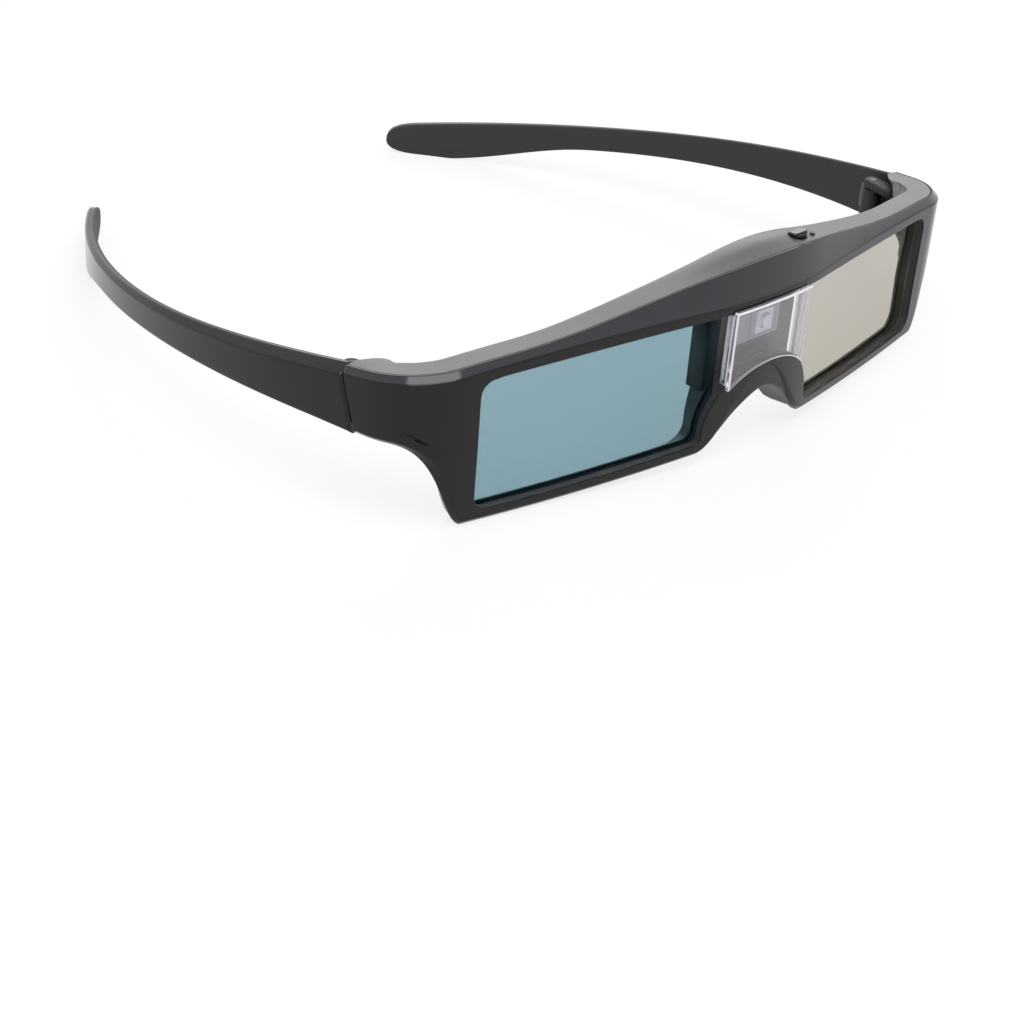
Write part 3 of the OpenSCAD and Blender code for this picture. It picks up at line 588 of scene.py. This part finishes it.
dress(STEEL, "frame_screws", "charge_socket")
dress(DARK_STEEL, "right_hinge_screw", "left_hinge_screw")
dress(BOARD, "circuit_board")
dress(PALE, "sensor_board", "tact_switch")
dress(CHIP, "control_chip")
dress(DIODE, "photodiode")
dress(FOIL, "battery")
dress(FLEX, "right_lens_tail", "left_lens_tail")
dress(PIPE, "indicator_light")

# Shells
ring = stations()
front = mesh_object("front_shell", [front_row(st) for st in ring], True, [GLOSS, INNER, BROW_PAINTED_REFLECTION],
                    front_paint, True)
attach(front, "front")
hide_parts("front_frame")

rear = mesh_object("rear_shell", [rear_row(st) for st in ring], True, [MATTE])

BOX_STEPS, RIM_STEPS, DISC_N = 2, 3, 48


def box_mesh(name, lo, hi, matrix, mats, bevel):
    """Box from corner lo to corner hi, with its edges rounded by bevel."""
    bm = bmesh.new()
    bmesh.ops.create_cube(bm, size=1)
    size, mid = Vector(hi) - Vector(lo), (Vector(hi) + Vector(lo)) / 2
    bm.transform(Matrix.Translation(mid) @ Matrix.Diagonal(size.to_4d()))
    if bevel:
        bmesh.ops.bevel(bm, geom=bm.edges[:], offset=bevel, segments=BOX_STEPS,
                        affect="EDGES", profile=0.5)
    bm.transform(Matrix.Diagonal((MM, MM, MM, 1)) @ matrix)
    bm.normal_update()
    bmesh.ops.recalc_face_normals(bm, faces=bm.faces)
    me = bpy.data.meshes.new(name)
    bm.to_mesh(me)
    bm.free()
    for m in mats:
        me.materials.append(m)
    ob = bpy.data.objects.new(name, me)
    bpy.context.scene.collection.objects.link(ob)
    return ob


def prism_mesh(name, outline, low, high, matrix, mats, bevel=0.0):
    """Upright prism on an outline of (x, y), with its upper and lower rims rounded by bevel."""
    bm = bmesh.new()
    base = [bm.verts.new((x, y, low)) for x, y in outline]
    f = bm.faces.new(base)
    up = bmesh.ops.extrude_face_region(bm, geom=[f])
    raised = [v for v in up["geom"] if isinstance(v, bmesh.types.BMVert)]
    bmesh.ops.translate(bm, vec=(0, 0, high - low), verts=raised)
    if bevel:
        rims = [e for e in bm.edges if abs(e.verts[0].co.z - e.verts[1].co.z) < TINY]
        bmesh.ops.bevel(bm, geom=rims, offset=bevel, segments=RIM_STEPS,
                        affect="EDGES", profile=0.5)
    bm.transform(Matrix.Diagonal((MM, MM, MM, 1)) @ matrix)
    bm.normal_update()
    bmesh.ops.recalc_face_normals(bm, faces=bm.faces)
    for fc in bm.faces:
        fc.smooth = True
    me = bpy.data.meshes.new(name)
    bm.to_mesh(me)
    bm.free()
    me.set_sharp_from_angle(angle=rad(PRISM_ANGLE))
    weigh_normals(me)
    for m in mats:
        me.materials.append(m)
    ob = bpy.data.objects.new(name, me)
    bpy.context.scene.collection.objects.link(ob)
    return ob


def disc(r):
    turns = [2 * math.pi * i / DISC_N for i in range(DISC_N)]
    return [(r * math.cos(a), r * math.sin(a)) for a in turns]


def half_disc(r, count):
    turns = np.linspace(-math.pi / 2, math.pi / 2, count)
    return [(r * math.cos(a), r * math.sin(a)) for a in turns]


# Web behind the window
WINDOW_HALF, WINDOW_SIDE, WEB_ROOM, WEB_LAP = 11.2, 0.6, 1.2, 1.0
WEB_SNUG, WEB_N, WEB_R = 0.05, 41, 0.3
WINDOW_BACK = CELL_T + 2 * FILM_T - REAR_N
WEB_HALF = WINDOW_HALF + WINDOW_SIDE + WINDOW_BACK * math.sin(rad(WRAP))
web_near, web_far = FRONT_Y - SEAT_N + WEB_ROOM, FRONT_Y + FRAME_D - WEB_SNUG
foot = [(x, arch_z(x) - WEB_LAP) for x in np.linspace(WEB_HALF, -WEB_HALF, WEB_N)]
outline = [(-WEB_HALF, MIDDLE_TOP + WEB_LAP), (WEB_HALF, MIDDLE_TOP + WEB_LAP)] + foot
stand = Matrix(((1, 0, 0, 0), (0, 0, 1, 0), (0, 1, 0, 0), (0, 0, 0, 1)))
web = prism_mesh("rear_web", outline, web_near, web_far, stand, [MATTE], WEB_R)
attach(web, "front")

# Hinge lugs, on each side an upper and a lower one
KNUCKLE_R, LUG_H, HINGE_GAP, LUG_REACH = 1.9, 1.8, 0.3, 7.0
HINGE_INSET, HINGE_DROP, LUG_N = 0.6, 1.8, 25
LUG_R = {"lower": 0.2, "upper": 0.4}
HINGE_LOW = SEAM_LOW + HINGE_INSET
KNUCKLE_LOW = HINGE_LOW + LUG_H + HINGE_GAP
KNUCKLE_TOP = SEAM_TOP - HINGE_DROP - LUG_H - HINGE_GAP
hinge = Vector(at(S_SEAM, -TEMPLE_T - HINGE_GAP - KNUCKLE_R, 0)) \
    + (KNUCKLE_R + HINGE_GAP) * Vector((math.cos(rad(SIDE)), math.sin(rad(SIDE)), 0))


def hinge_matrix(side):
    mirror = Matrix.Diagonal((side, 1, 1, 1))
    return mirror @ Matrix.Translation(hinge) @ Matrix.Rotation(rad(SIDE), 4, "Z")


lug_outline = [(-LUG_REACH, -KNUCKLE_R)] + half_disc(KNUCKLE_R, LUG_N) + [(-LUG_REACH, KNUCKLE_R)]
for side, word in ((-1, "right"), (1, "left")):
    for low, place in ((HINGE_LOW, "lower"), (KNUCKLE_TOP + HINGE_GAP, "upper")):
        lug = prism_mesh(f"{word}_{place}_lug", lug_outline, low, low + LUG_H,
                         hinge_matrix(side), [INNER], LUG_R[place])
        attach(lug, "front")

# Cut-outs of the rear shell: button, indicator, charging socket and screw wells
BUTTON_X, BUTTON_IN, BUTTON_L, BUTTON_W, LIGHT_X, LIGHT_R = 11.0, 5.2, 4.4, 2.2, 15.7, 0.5
BUTTON_FIT, LIGHT_FIT, CUT_LOW, CUT_HIGH, PILL_N = 0.2, 0.05, 37.9, 46, 17
BUTTON_Y = FRONT_Y + BUTTON_IN


def pill(grow):
    r, h = BUTTON_W / 2 + grow, (BUTTON_L - BUTTON_W) / 2
    end = [(h + x, y) for x, y in half_disc(r, PILL_N)]
    return end + [(-x, -y) for x, y in end]


lo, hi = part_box("charge_socket")
button_place = Matrix.Translation((BUTTON_X, BUTTON_Y, 0))
light_place = Matrix.Translation((LIGHT_X, BUTTON_Y, 0))
cutters = [prism_mesh("cut_button", pill(BUTTON_FIT), CUT_LOW, CUT_HIGH, button_place, []),
           prism_mesh("cut_light", disc(LIGHT_R + LIGHT_FIT), CUT_LOW, CUT_HIGH, light_place, [])]
SOCKET_STEP, SOCKET_W, SOCKET_H, SOCKET_D, SOCKET_FIT = 8, 7.4, 2.5, 4.6, 0.1
SOCKET_S = S_BRIDGE + SOCKET_STEP
socket_n, socket_z = depth(SOCKET_S), lo[2] / MM
lens_place = Matrix.Translation(Vector(at(S_BRIDGE, 0, 0))) @ Matrix.Rotation(rad(WRAP), 4, "Z") \
    @ Matrix.Translation((-S_BRIDGE, 0, 0))
socket_lo = (SOCKET_S - SOCKET_W / 2 - SOCKET_FIT, socket_n - SOCKET_D, socket_z - SOCKET_FIT)
socket_hi = (SOCKET_S + SOCKET_W / 2 + SOCKET_FIT, 2 * socket_n,
             socket_z + SOCKET_H + SOCKET_FIT)
cutters.append(box_mesh("cut_socket", socket_lo, socket_hi, lens_place, [], 0))
CLAMP_TURN, CLAMP_UP, CLAMP_SINK, HEAD_H, WELL_R, WELL_OVER = 16, 0.55, 1, 1.2, 1.55, 2
SCREW_S = S_CORNER + CLAMP_TURN * CORNER_R * rad(1)
SCREW_Z = RIM_H + OPENING_H * CLAMP_UP
head_n = depth(SCREW_S) - CLAMP_SINK - HEAD_H
for side in (-1, 1):
    turn = Matrix.Diagonal((side, 1, 1, 1)) @ Matrix.Translation(Vector(at(SCREW_S, 0, SCREW_Z))) \
        @ Matrix.Rotation(rad(heading(SCREW_S)), 4, "Z") @ Matrix.Rotation(rad(-90), 4, "X")
    cut = prism_mesh(f"cut_screw_{side}", disc(WELL_R), head_n, FRAME_D + WELL_OVER, turn, [])
    cutters.append(cut)
for cut in cutters:
    md = rear.modifiers.new(cut.name, "BOOLEAN")
    md.operation, md.solver, md.object = "DIFFERENCE", "EXACT", cut
bpy.context.view_layer.update()
done = bpy.data.meshes.new_from_object(rear.evaluated_get(bpy.context.evaluated_depsgraph_get()))
rear.modifiers.clear()
rear.data = done
done.materials.clear()
done.materials.append(MATTE)
done.polygons.foreach_set("material_index", [0] * len(done.polygons))
done.polygons.foreach_set("use_smooth", [True] * len(done.polygons))
done.set_sharp_from_angle(angle=rad(SKIN_ANGLE))
weigh_normals(done)
for cut in cutters:
    bpy.data.objects.remove(cut)
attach(rear, "front")
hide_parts("rear_frame")

# Lens layers
FILM_IN, SKIN = 0.3, 0.02


def lens_outline(grow):
    edge = [tuple(p) for p in (toward(i, o, grow) for i, o, _ in ring) if p[0] > WEB_HALF]
    return [(WEB_HALF, arch_z(WEB_HALF) - grow)] + edge + [(WEB_HALF, open_top(WEB_HALF) + grow)]


film_y = LENS_GAP - REAR_N
for side, word, glass in ((-1, "right", NEAR_CELL_VIEW_TINT), (1, "left", FAR_CELL_VIEW_TINT)):
    for layer, near, thick, trim, mat, slot in (
            ("front_film", film_y, FILM_T, FILM_IN, FILM, "lens_film"),
            ("lens_cell", film_y + FILM_T, CELL_T, 0, glass, "lens_glass"),
            ("rear_film", film_y + FILM_T + CELL_T, FILM_T, FILM_IN, FILM, "lens_film")):
        pane = prism_mesh(f"{word}_{layer}_pane", lens_outline(LENS_LIP - trim),
                          near + SKIN, near + thick - SKIN,
                          Matrix.Diagonal((side, 1, 1, 1)) @ lens_place @ stand, [mat])
        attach(pane, "front")
        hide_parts(f"{word}_{layer}")

# Window and button
PLATE_BACK, PLATE_LAP, FOOT_LAP, CLEAR_R = 0.05, 0.45, 0.7, 0.32
RIB_T, RIB_FRONT, RIB_BACK, RIB_LIFT, RIB_DROP = 1.1, 0.02, 1.8, 0.2, 0.3
PLATE_SUBS, PLATE_N, RIB_SUBS, RIB_N = (1, 16, 1, 16), 61, (2, 4, 2, 4), 21
EDGE_TAG, END_ANGLES = 0.5, (0, 30, 60, 90)


def plate_row(s, e):
    """Section of the window's front plate at s, drawn in by e."""
    top, low = open_top(s) + PLATE_LAP - e, arch_z(s) - FOOT_LAP + e
    edge = vec(s, low), vec(s, top)
    pts, tags = loop([(p3(edge[0], PLATE_BACK), SHARP_R), (p3(edge[0], WINDOW_PROUD - e), CLEAR_R),
                      (p3(edge[1], WINDOW_PROUD - e), CLEAR_R), (p3(edge[1], PLATE_BACK), SHARP_R)],
                     PLATE_SUBS)
    return pts, [EDGE_TAG] * len(tags) if e else tags


def rib_row(z, e, side):
    """Section of a side rib at height z, drawn in by e."""
    a, b = side * (WINDOW_HALF - RIB_T + e), side * (WINDOW_HALF - e)
    fore, back = RIB_FRONT - e, e - RIB_BACK
    pts, tags = loop([(p3(vec(a, z), fore), CLEAR_R), (p3(vec(b, z), fore), CLEAR_R),
                      (p3(vec(b, z), back), CLEAR_R), (p3(vec(a, z), back), CLEAR_R)], RIB_SUBS)
    return pts, [EDGE_TAG] * len(tags) if e else tags


def rounded_rows(row, low, high, count):
    """Rows from low to high, drawn in round at both ends."""
    ends = [(CLEAR_R * (1 - math.sin(a)), CLEAR_R * (1 - math.cos(a)))
            for a in map(rad, END_ANGLES)]
    return [row(low + d, e) for d, e in ends[::-1]] \
        + [row(v, 0) for v in np.linspace(low + CLEAR_R, high - CLEAR_R, count)[1:-1]] \
        + [row(high - d, e) for d, e in ends]


def is_edge(tag):
    """1 on the roundings, whose tags lie between whole numbers; these take the painted highlight.
    """
    return 1 if tag != int(tag) else 0


plate_rows = rounded_rows(plate_row, -WINDOW_HALF, WINDOW_HALF, PLATE_N)
window = mesh_object("clear_window", plate_rows, False, [WINDOW, CLEAR_EDGE_HIGHLIGHT], is_edge)
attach(window, "front")
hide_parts("sensor_window")
for side, word in ((-1, "right"), (1, "left")):
    rib_rows = rounded_rows(lambda z, e: rib_row(z, e, side), arch_z(WINDOW_HALF) + RIB_LIFT,
                            open_top(WINDOW_HALF) - RIB_DROP, RIB_N)
    rib = mesh_object(f"{word}_window_rib", rib_rows, False, [WINDOW, CLEAR_EDGE_HIGHLIGHT], is_edge)
    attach(rib, "front")

lo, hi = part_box("power_button")
FLANGE_W, FLANGE_H, FLANGE_R, FLANGE_SKIN, KEY_R = 0.5, 0.6, 0.1, 0.01, 0.4
key = prism_mesh("power_key", pill(0), lo[2] / MM + FLANGE_H, hi[2] / MM, button_place,
                 [GLOSS], KEY_R)
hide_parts("power_button")
flange = prism_mesh("power_key_flange", pill(FLANGE_W), lo[2] / MM,
                    lo[2] / MM + FLANGE_H - FLANGE_SKIN, button_place, [GLOSS], FLANGE_R)
for piece in (key, flange):
    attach(piece, "power_button")

# Nose saddle
PAD_SPAN, SADDLE_GAP, WING_T, SADDLE_T, SADDLE_R = 0.74, 0.05, 0.06, 5.0, 0.5
SADDLE_POWER, SADDLE_SOFT, SADDLE_IN, SADDLE_BOW = 1.6, 0.12, 0.02, 0.25
SADDLE_SHARE, FORE_R, BACK_TOP_R = 0.3, 0.06, 0.4
SADDLE_SUBS, SADDLE_N, UNDER_TAGS = (8, 2, 8, 2), 97, (1.4, 2.6)


def saddle_fall(u):
    """From 0 in the middle of the saddle to 1 at its ends."""
    at_mid, at_end = SADDLE_SOFT ** SADDLE_POWER, math.hypot(1, SADDLE_SOFT) ** SADDLE_POWER
    return (math.hypot(u, SADDLE_SOFT) ** SADDLE_POWER - at_mid) / (at_end - at_mid)


# 1 on the underside, which takes the painted light
def saddle_paint(tag):
    return 1 if UNDER_TAGS[0] < tag < UNDER_TAGS[1] else 0


pad_rows = []
wing_end = nose_z(NOSE_HALF * PAD_SPAN) - SADDLE_GAP - WING_T
for u in np.linspace(-1, 1, SADDLE_N):
    s = u * NOSE_HALF * PAD_SPAN
    slope = (nose_z(abs(s)) - nose_z(abs(s) + SLOPE_E)) / SLOPE_E
    fore, back = -nose_drop(s) - SADDLE_IN, -PAD_D * (1 - SADDLE_BOW * u * u)
    high = nose_z(s) - SADDLE_GAP * math.hypot(1, slope)
    low = min(mix(nose_z(0) - SADDLE_T, wing_end, saddle_fall(u)), high - WING_T)
    q0, q1, r = vec(s, high), vec(s, low), min(SADDLE_SHARE * (high - low), SADDLE_R)
    pad_rows.append(loop([(p3(q0, fore), FORE_R), (p3(q0, back), BACK_TOP_R), (p3(q1, back), r),
                          (p3(q1, fore), r)], SADDLE_SUBS))
pad = mesh_object("nose_saddle", pad_rows, False, [RUBBER, UNDERSIDE_PAINTED_LIGHT], saddle_paint)
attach(pad, "front")
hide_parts("nose_pad")

# Temples
WAIST_AT, PADDLE_AT, TIP_AT, THIN_AT = 0.62, 0.88, 0.94, 0.45
TIP_POWER, TIP_END, WAIST_POWER, TIP_BEVEL, BEVEL_INSET = 2.6, 0.0016, 0.8, 0.5, 0.5
LOW_R, BEVEL_R, INSIDE_R, SEAM_SHARE = 0.55, 0.3, 0.6, 0.03
TEMPLE_SUBS, SEAM_ROWS, ARM_ROWS, TIP_ROWS = (10, 2, 2, 10, 2), 8, 130, 24
INSIDE_TAGS, LEAF_R = (2.4, 4.4), 0.15
LEAF_STEP, LEAF_L, LEAF_LAP = 1.0, 3.5, 0.6


def temple_s(u):
    return mix(S_SEAM + SEAM_GAP, S_SEAM + TEMPLE_LEN, u)


def temple_top(u):
    return SEAM_TOP - FALL * (plan(temple_s(u))[1] - plan(S_SEAM)[1])


def temple_h(u):
    if u < WAIST_AT:
        return mix(SEAM_TOP - SEAM_LOW, WAIST, math.sin(rad(90 * u / WAIST_AT)) ** WAIST_POWER)
    return mix(WAIST, temple_top(max(u, PADDLE_AT)), ease((u - WAIST_AT) / (PADDLE_AT - WAIST_AT)))


def temple_row(u):
    """Section of the temple at the share u of its length."""
    top, h, t = temple_top(u), temple_h(u), mix(TEMPLE_T, TIP_T, ease(u / THIN_AT))
    past = max(0, u - TIP_AT) / (1 - TIP_AT)
    rd = max(TIP_END, 1 - past ** TIP_POWER) ** (1 / TIP_POWER)
    mid = top - h / 2
    hi_z, lo_z, r = mid + h / 2 * rd, mid - h / 2 * rd, BEVEL_INSET * rd
    b = mix(BEVEL_H, TIP_BEVEL, ease(u)) * rd
    bn = mix(t - 2 * r, r, ease(u))

    def key(n, z, radius):
        lean = -SEAM_LEAN * (SEAM_TOP - z) / (SEAM_TOP - SEAM_LOW) * (1 - min(1, u / SEAM_SHARE))
        return p3(vec(temple_s(u) + lean, z), n), radius * rd
    keys = [key(0, lo_z, LOW_R), key(0, hi_z - b, BEVEL_R), key(-bn, hi_z, BEVEL_R),
            key(-t, hi_z, INSIDE_R), key(-t, lo_z, INSIDE_R)]
    return loop(keys, TEMPLE_SUBS)


def temple_paint(tag):
    return 1 if INSIDE_TAGS[0] < tag < INSIDE_TAGS[1] else 0


us = list(np.linspace(0, SEAM_SHARE, SEAM_ROWS)) \
    + list(np.linspace(SEAM_SHARE, TIP_AT, ARM_ROWS))[1:] \
    + [TIP_AT + (1 - TIP_AT) * math.sin(rad(90 * i / TIP_ROWS)) for i in range(1, TIP_ROWS + 1)]
rows = [temple_row(u) for u in us]
mirrored = [([p * vec(-1, 1, 1) for p in pts], tags) for pts, tags in rows]
for word, data, side in (("right", mirrored, -1), ("left", rows, 1)):
    ob = mesh_object(f"{word}_temple_arm", data, False, [GLOSS, INNER], temple_paint)
    body = f"{word}_temple"
    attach(ob, body)
    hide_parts(body)
    knuckle = prism_mesh(f"{word}_knuckle", disc(KNUCKLE_R), KNUCKLE_LOW, KNUCKLE_TOP,
                         hinge_matrix(side), [INNER], LEAF_R)
    leaf = box_mesh(f"{word}_hinge_leaf",
                    (-LEAF_STEP, -KNUCKLE_R - HINGE_GAP - LEAF_LAP, KNUCKLE_LOW),
                    (LEAF_L, 0, KNUCKLE_TOP), hinge_matrix(side), [MATTE], LEAF_R)
    for piece in (knuckle, leaf):
        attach(piece, body)

# Stage, light and camera
scene = bpy.context.scene
FLOOR_GLOW = 0.8  # the rest of the floor is lit, and keeps the shadow
FLOOR_SHADE, FLOOR_HALF = (0.9, 0.9, 0.9, 1), 3
WHITE = (1, 1, 1, 1)
# Soft light of the room, from the horizon up: height of the direction, and colour
WALL = ((0.0, (0.1, 0.1, 0.1)), (0.16, (0.12, 0.12, 0.125)), (0.3, (0.42, 0.42, 0.48)),
        (0.6, (0.56, 0.56, 0.58)), (1.0, (0.6, 0.6, 0.6)))


def seen_rays(tree):
    """1 for the rays that see the white background: straight, mirrored or through glass."""
    path = add(tree, "ShaderNodeLightPath")
    most = path.outputs["Is Camera Ray"]
    for name in ("Is Glossy Ray", "Is Transmission Ray"):
        either = add(tree, "ShaderNodeMath")
        either.operation = "MAXIMUM"
        tree.links.new(most, either.inputs[0])
        tree.links.new(path.outputs[name], either.inputs[1])
        most = either.outputs[0]
    return most


def lit_floor():
    m, t, b = new_material("floor")
    t.nodes.remove(b)
    share = add(t, "ShaderNodeMath")
    share.operation = "MULTIPLY"
    share.inputs[1].default_value = FLOOR_GLOW
    t.links.new(seen_rays(t), share.inputs[0])
    diffuse = add(t, "ShaderNodeBsdfDiffuse", Color=FLOOR_SHADE)
    glow = add(t, "ShaderNodeEmission", Color=WHITE, Strength=1.0)
    both = add(t, "ShaderNodeMixShader")
    t.links.new(share.outputs[0], both.inputs[0])
    t.links.new(diffuse.outputs[0], both.inputs[1])
    t.links.new(glow.outputs[0], both.inputs[2])
    t.links.new(both.outputs[0], t.nodes["Material Output"].inputs["Surface"])
    return m


bm = bmesh.new()
bmesh.ops.create_grid(bm, x_segments=1, y_segments=1, size=FLOOR_HALF)
me = bpy.data.meshes.new("floor")
bm.to_mesh(me)
bm.free()
me.materials.append(lit_floor())
floor = bpy.data.objects.new("floor", me)
scene.collection.objects.link(floor)

world = bpy.data.worlds.new("studio")
scene.world = world
world.use_nodes = True
wt = world.node_tree
back = wt.nodes["Background"]
way = add(wt, "ShaderNodeTexCoord")
axes = add(wt, "ShaderNodeSeparateXYZ")
wt.links.new(way.outputs["Generated"], axes.inputs[0])
wall = add(wt, "ShaderNodeValToRGB")
while len(wall.color_ramp.elements) < len(WALL):
    wall.color_ramp.elements.new(0.5)
for stop, (height, shade) in zip(wall.color_ramp.elements, WALL):
    stop.position, stop.color = height, shade + (1,)
wt.links.new(axes.outputs["Z"], wall.inputs["Fac"])
wt.links.new(wall.outputs["Color"], back.inputs["Color"])
seen = add(wt, "ShaderNodeBackground", Color=WHITE, Strength=1.0)
blend = add(wt, "ShaderNodeMixShader")
wt.links.new(seen_rays(wt), blend.inputs[0])
wt.links.new(back.outputs[0], blend.inputs[1])
wt.links.new(seen.outputs[0], blend.inputs[2])
wt.links.new(blend.outputs[0], wt.nodes["World Output"].inputs["Surface"])


def softbox(name, place, target, size, power):
    light = bpy.data.lights.new(name, "AREA")
    light.shape, light.size, light.size_y = "RECTANGLE", size[0], size[1]
    light.energy = power
    ob = bpy.data.objects.new(name, light)
    ob.location = place
    ob.rotation_euler = (Vector(target) - Vector(place)).to_track_quat("-Z", "Y").to_euler()
    scene.collection.objects.link(ob)


softbox("back_light", (0.5, 0.44, 0.42), (0.02, -0.04, 0.03), (0.6, 0.4), 2.2)
softbox("top_light", (-0.25, -0.35, 0.95), (0, 0, 0.02), (0.8, 0.8), 7.0)

# Camera fitted to points on the photo: angles, focal length in pixels, and its place from the aim
AZ, EL, ROLL = rad(-46.64), rad(30.37), rad(4.75)
FOCAL, UNIT, SENSOR, PIXELS = 2200.0, 0.9, 36.0, 1024.0
SIDEWAYS, UPWARD, DISTANCE, AIM_BACK, AIM_UP = 44.24, 22.62, 492.4, 12.4, 2.6
CLIP_NEAR, CLIP_FAR = 0.01, 20
fwd = Vector((-math.sin(AZ) * math.cos(EL), math.cos(AZ) * math.cos(EL), -math.sin(EL)))
right0 = Vector((math.cos(AZ), math.sin(AZ), 0))
up0 = right0.cross(fwd)
right = right0 * math.cos(ROLL) + up0 * math.sin(ROLL)
up = up0 * math.cos(ROLL) - right0 * math.sin(ROLL)
place = -(right * SIDEWAYS + up * UPWARD + fwd * DISTANCE) * UNIT \
    + Vector((0, AIM_BACK + FRONT_Y, AIM_UP))
cam = bpy.data.cameras.new("camera")
cam.sensor_width, cam.lens = SENSOR, SENSOR * FOCAL / PIXELS
cam.clip_start, cam.clip_end = CLIP_NEAR, CLIP_FAR
eye = bpy.data.objects.new("camera", cam)
eye.matrix_world = Matrix.Translation(place * MM) @ Matrix((right, up, -fwd)).transposed().to_4x4()
scene.collection.objects.link(eye)
scene.camera = eye
scene.view_settings.view_transform = "Standard"
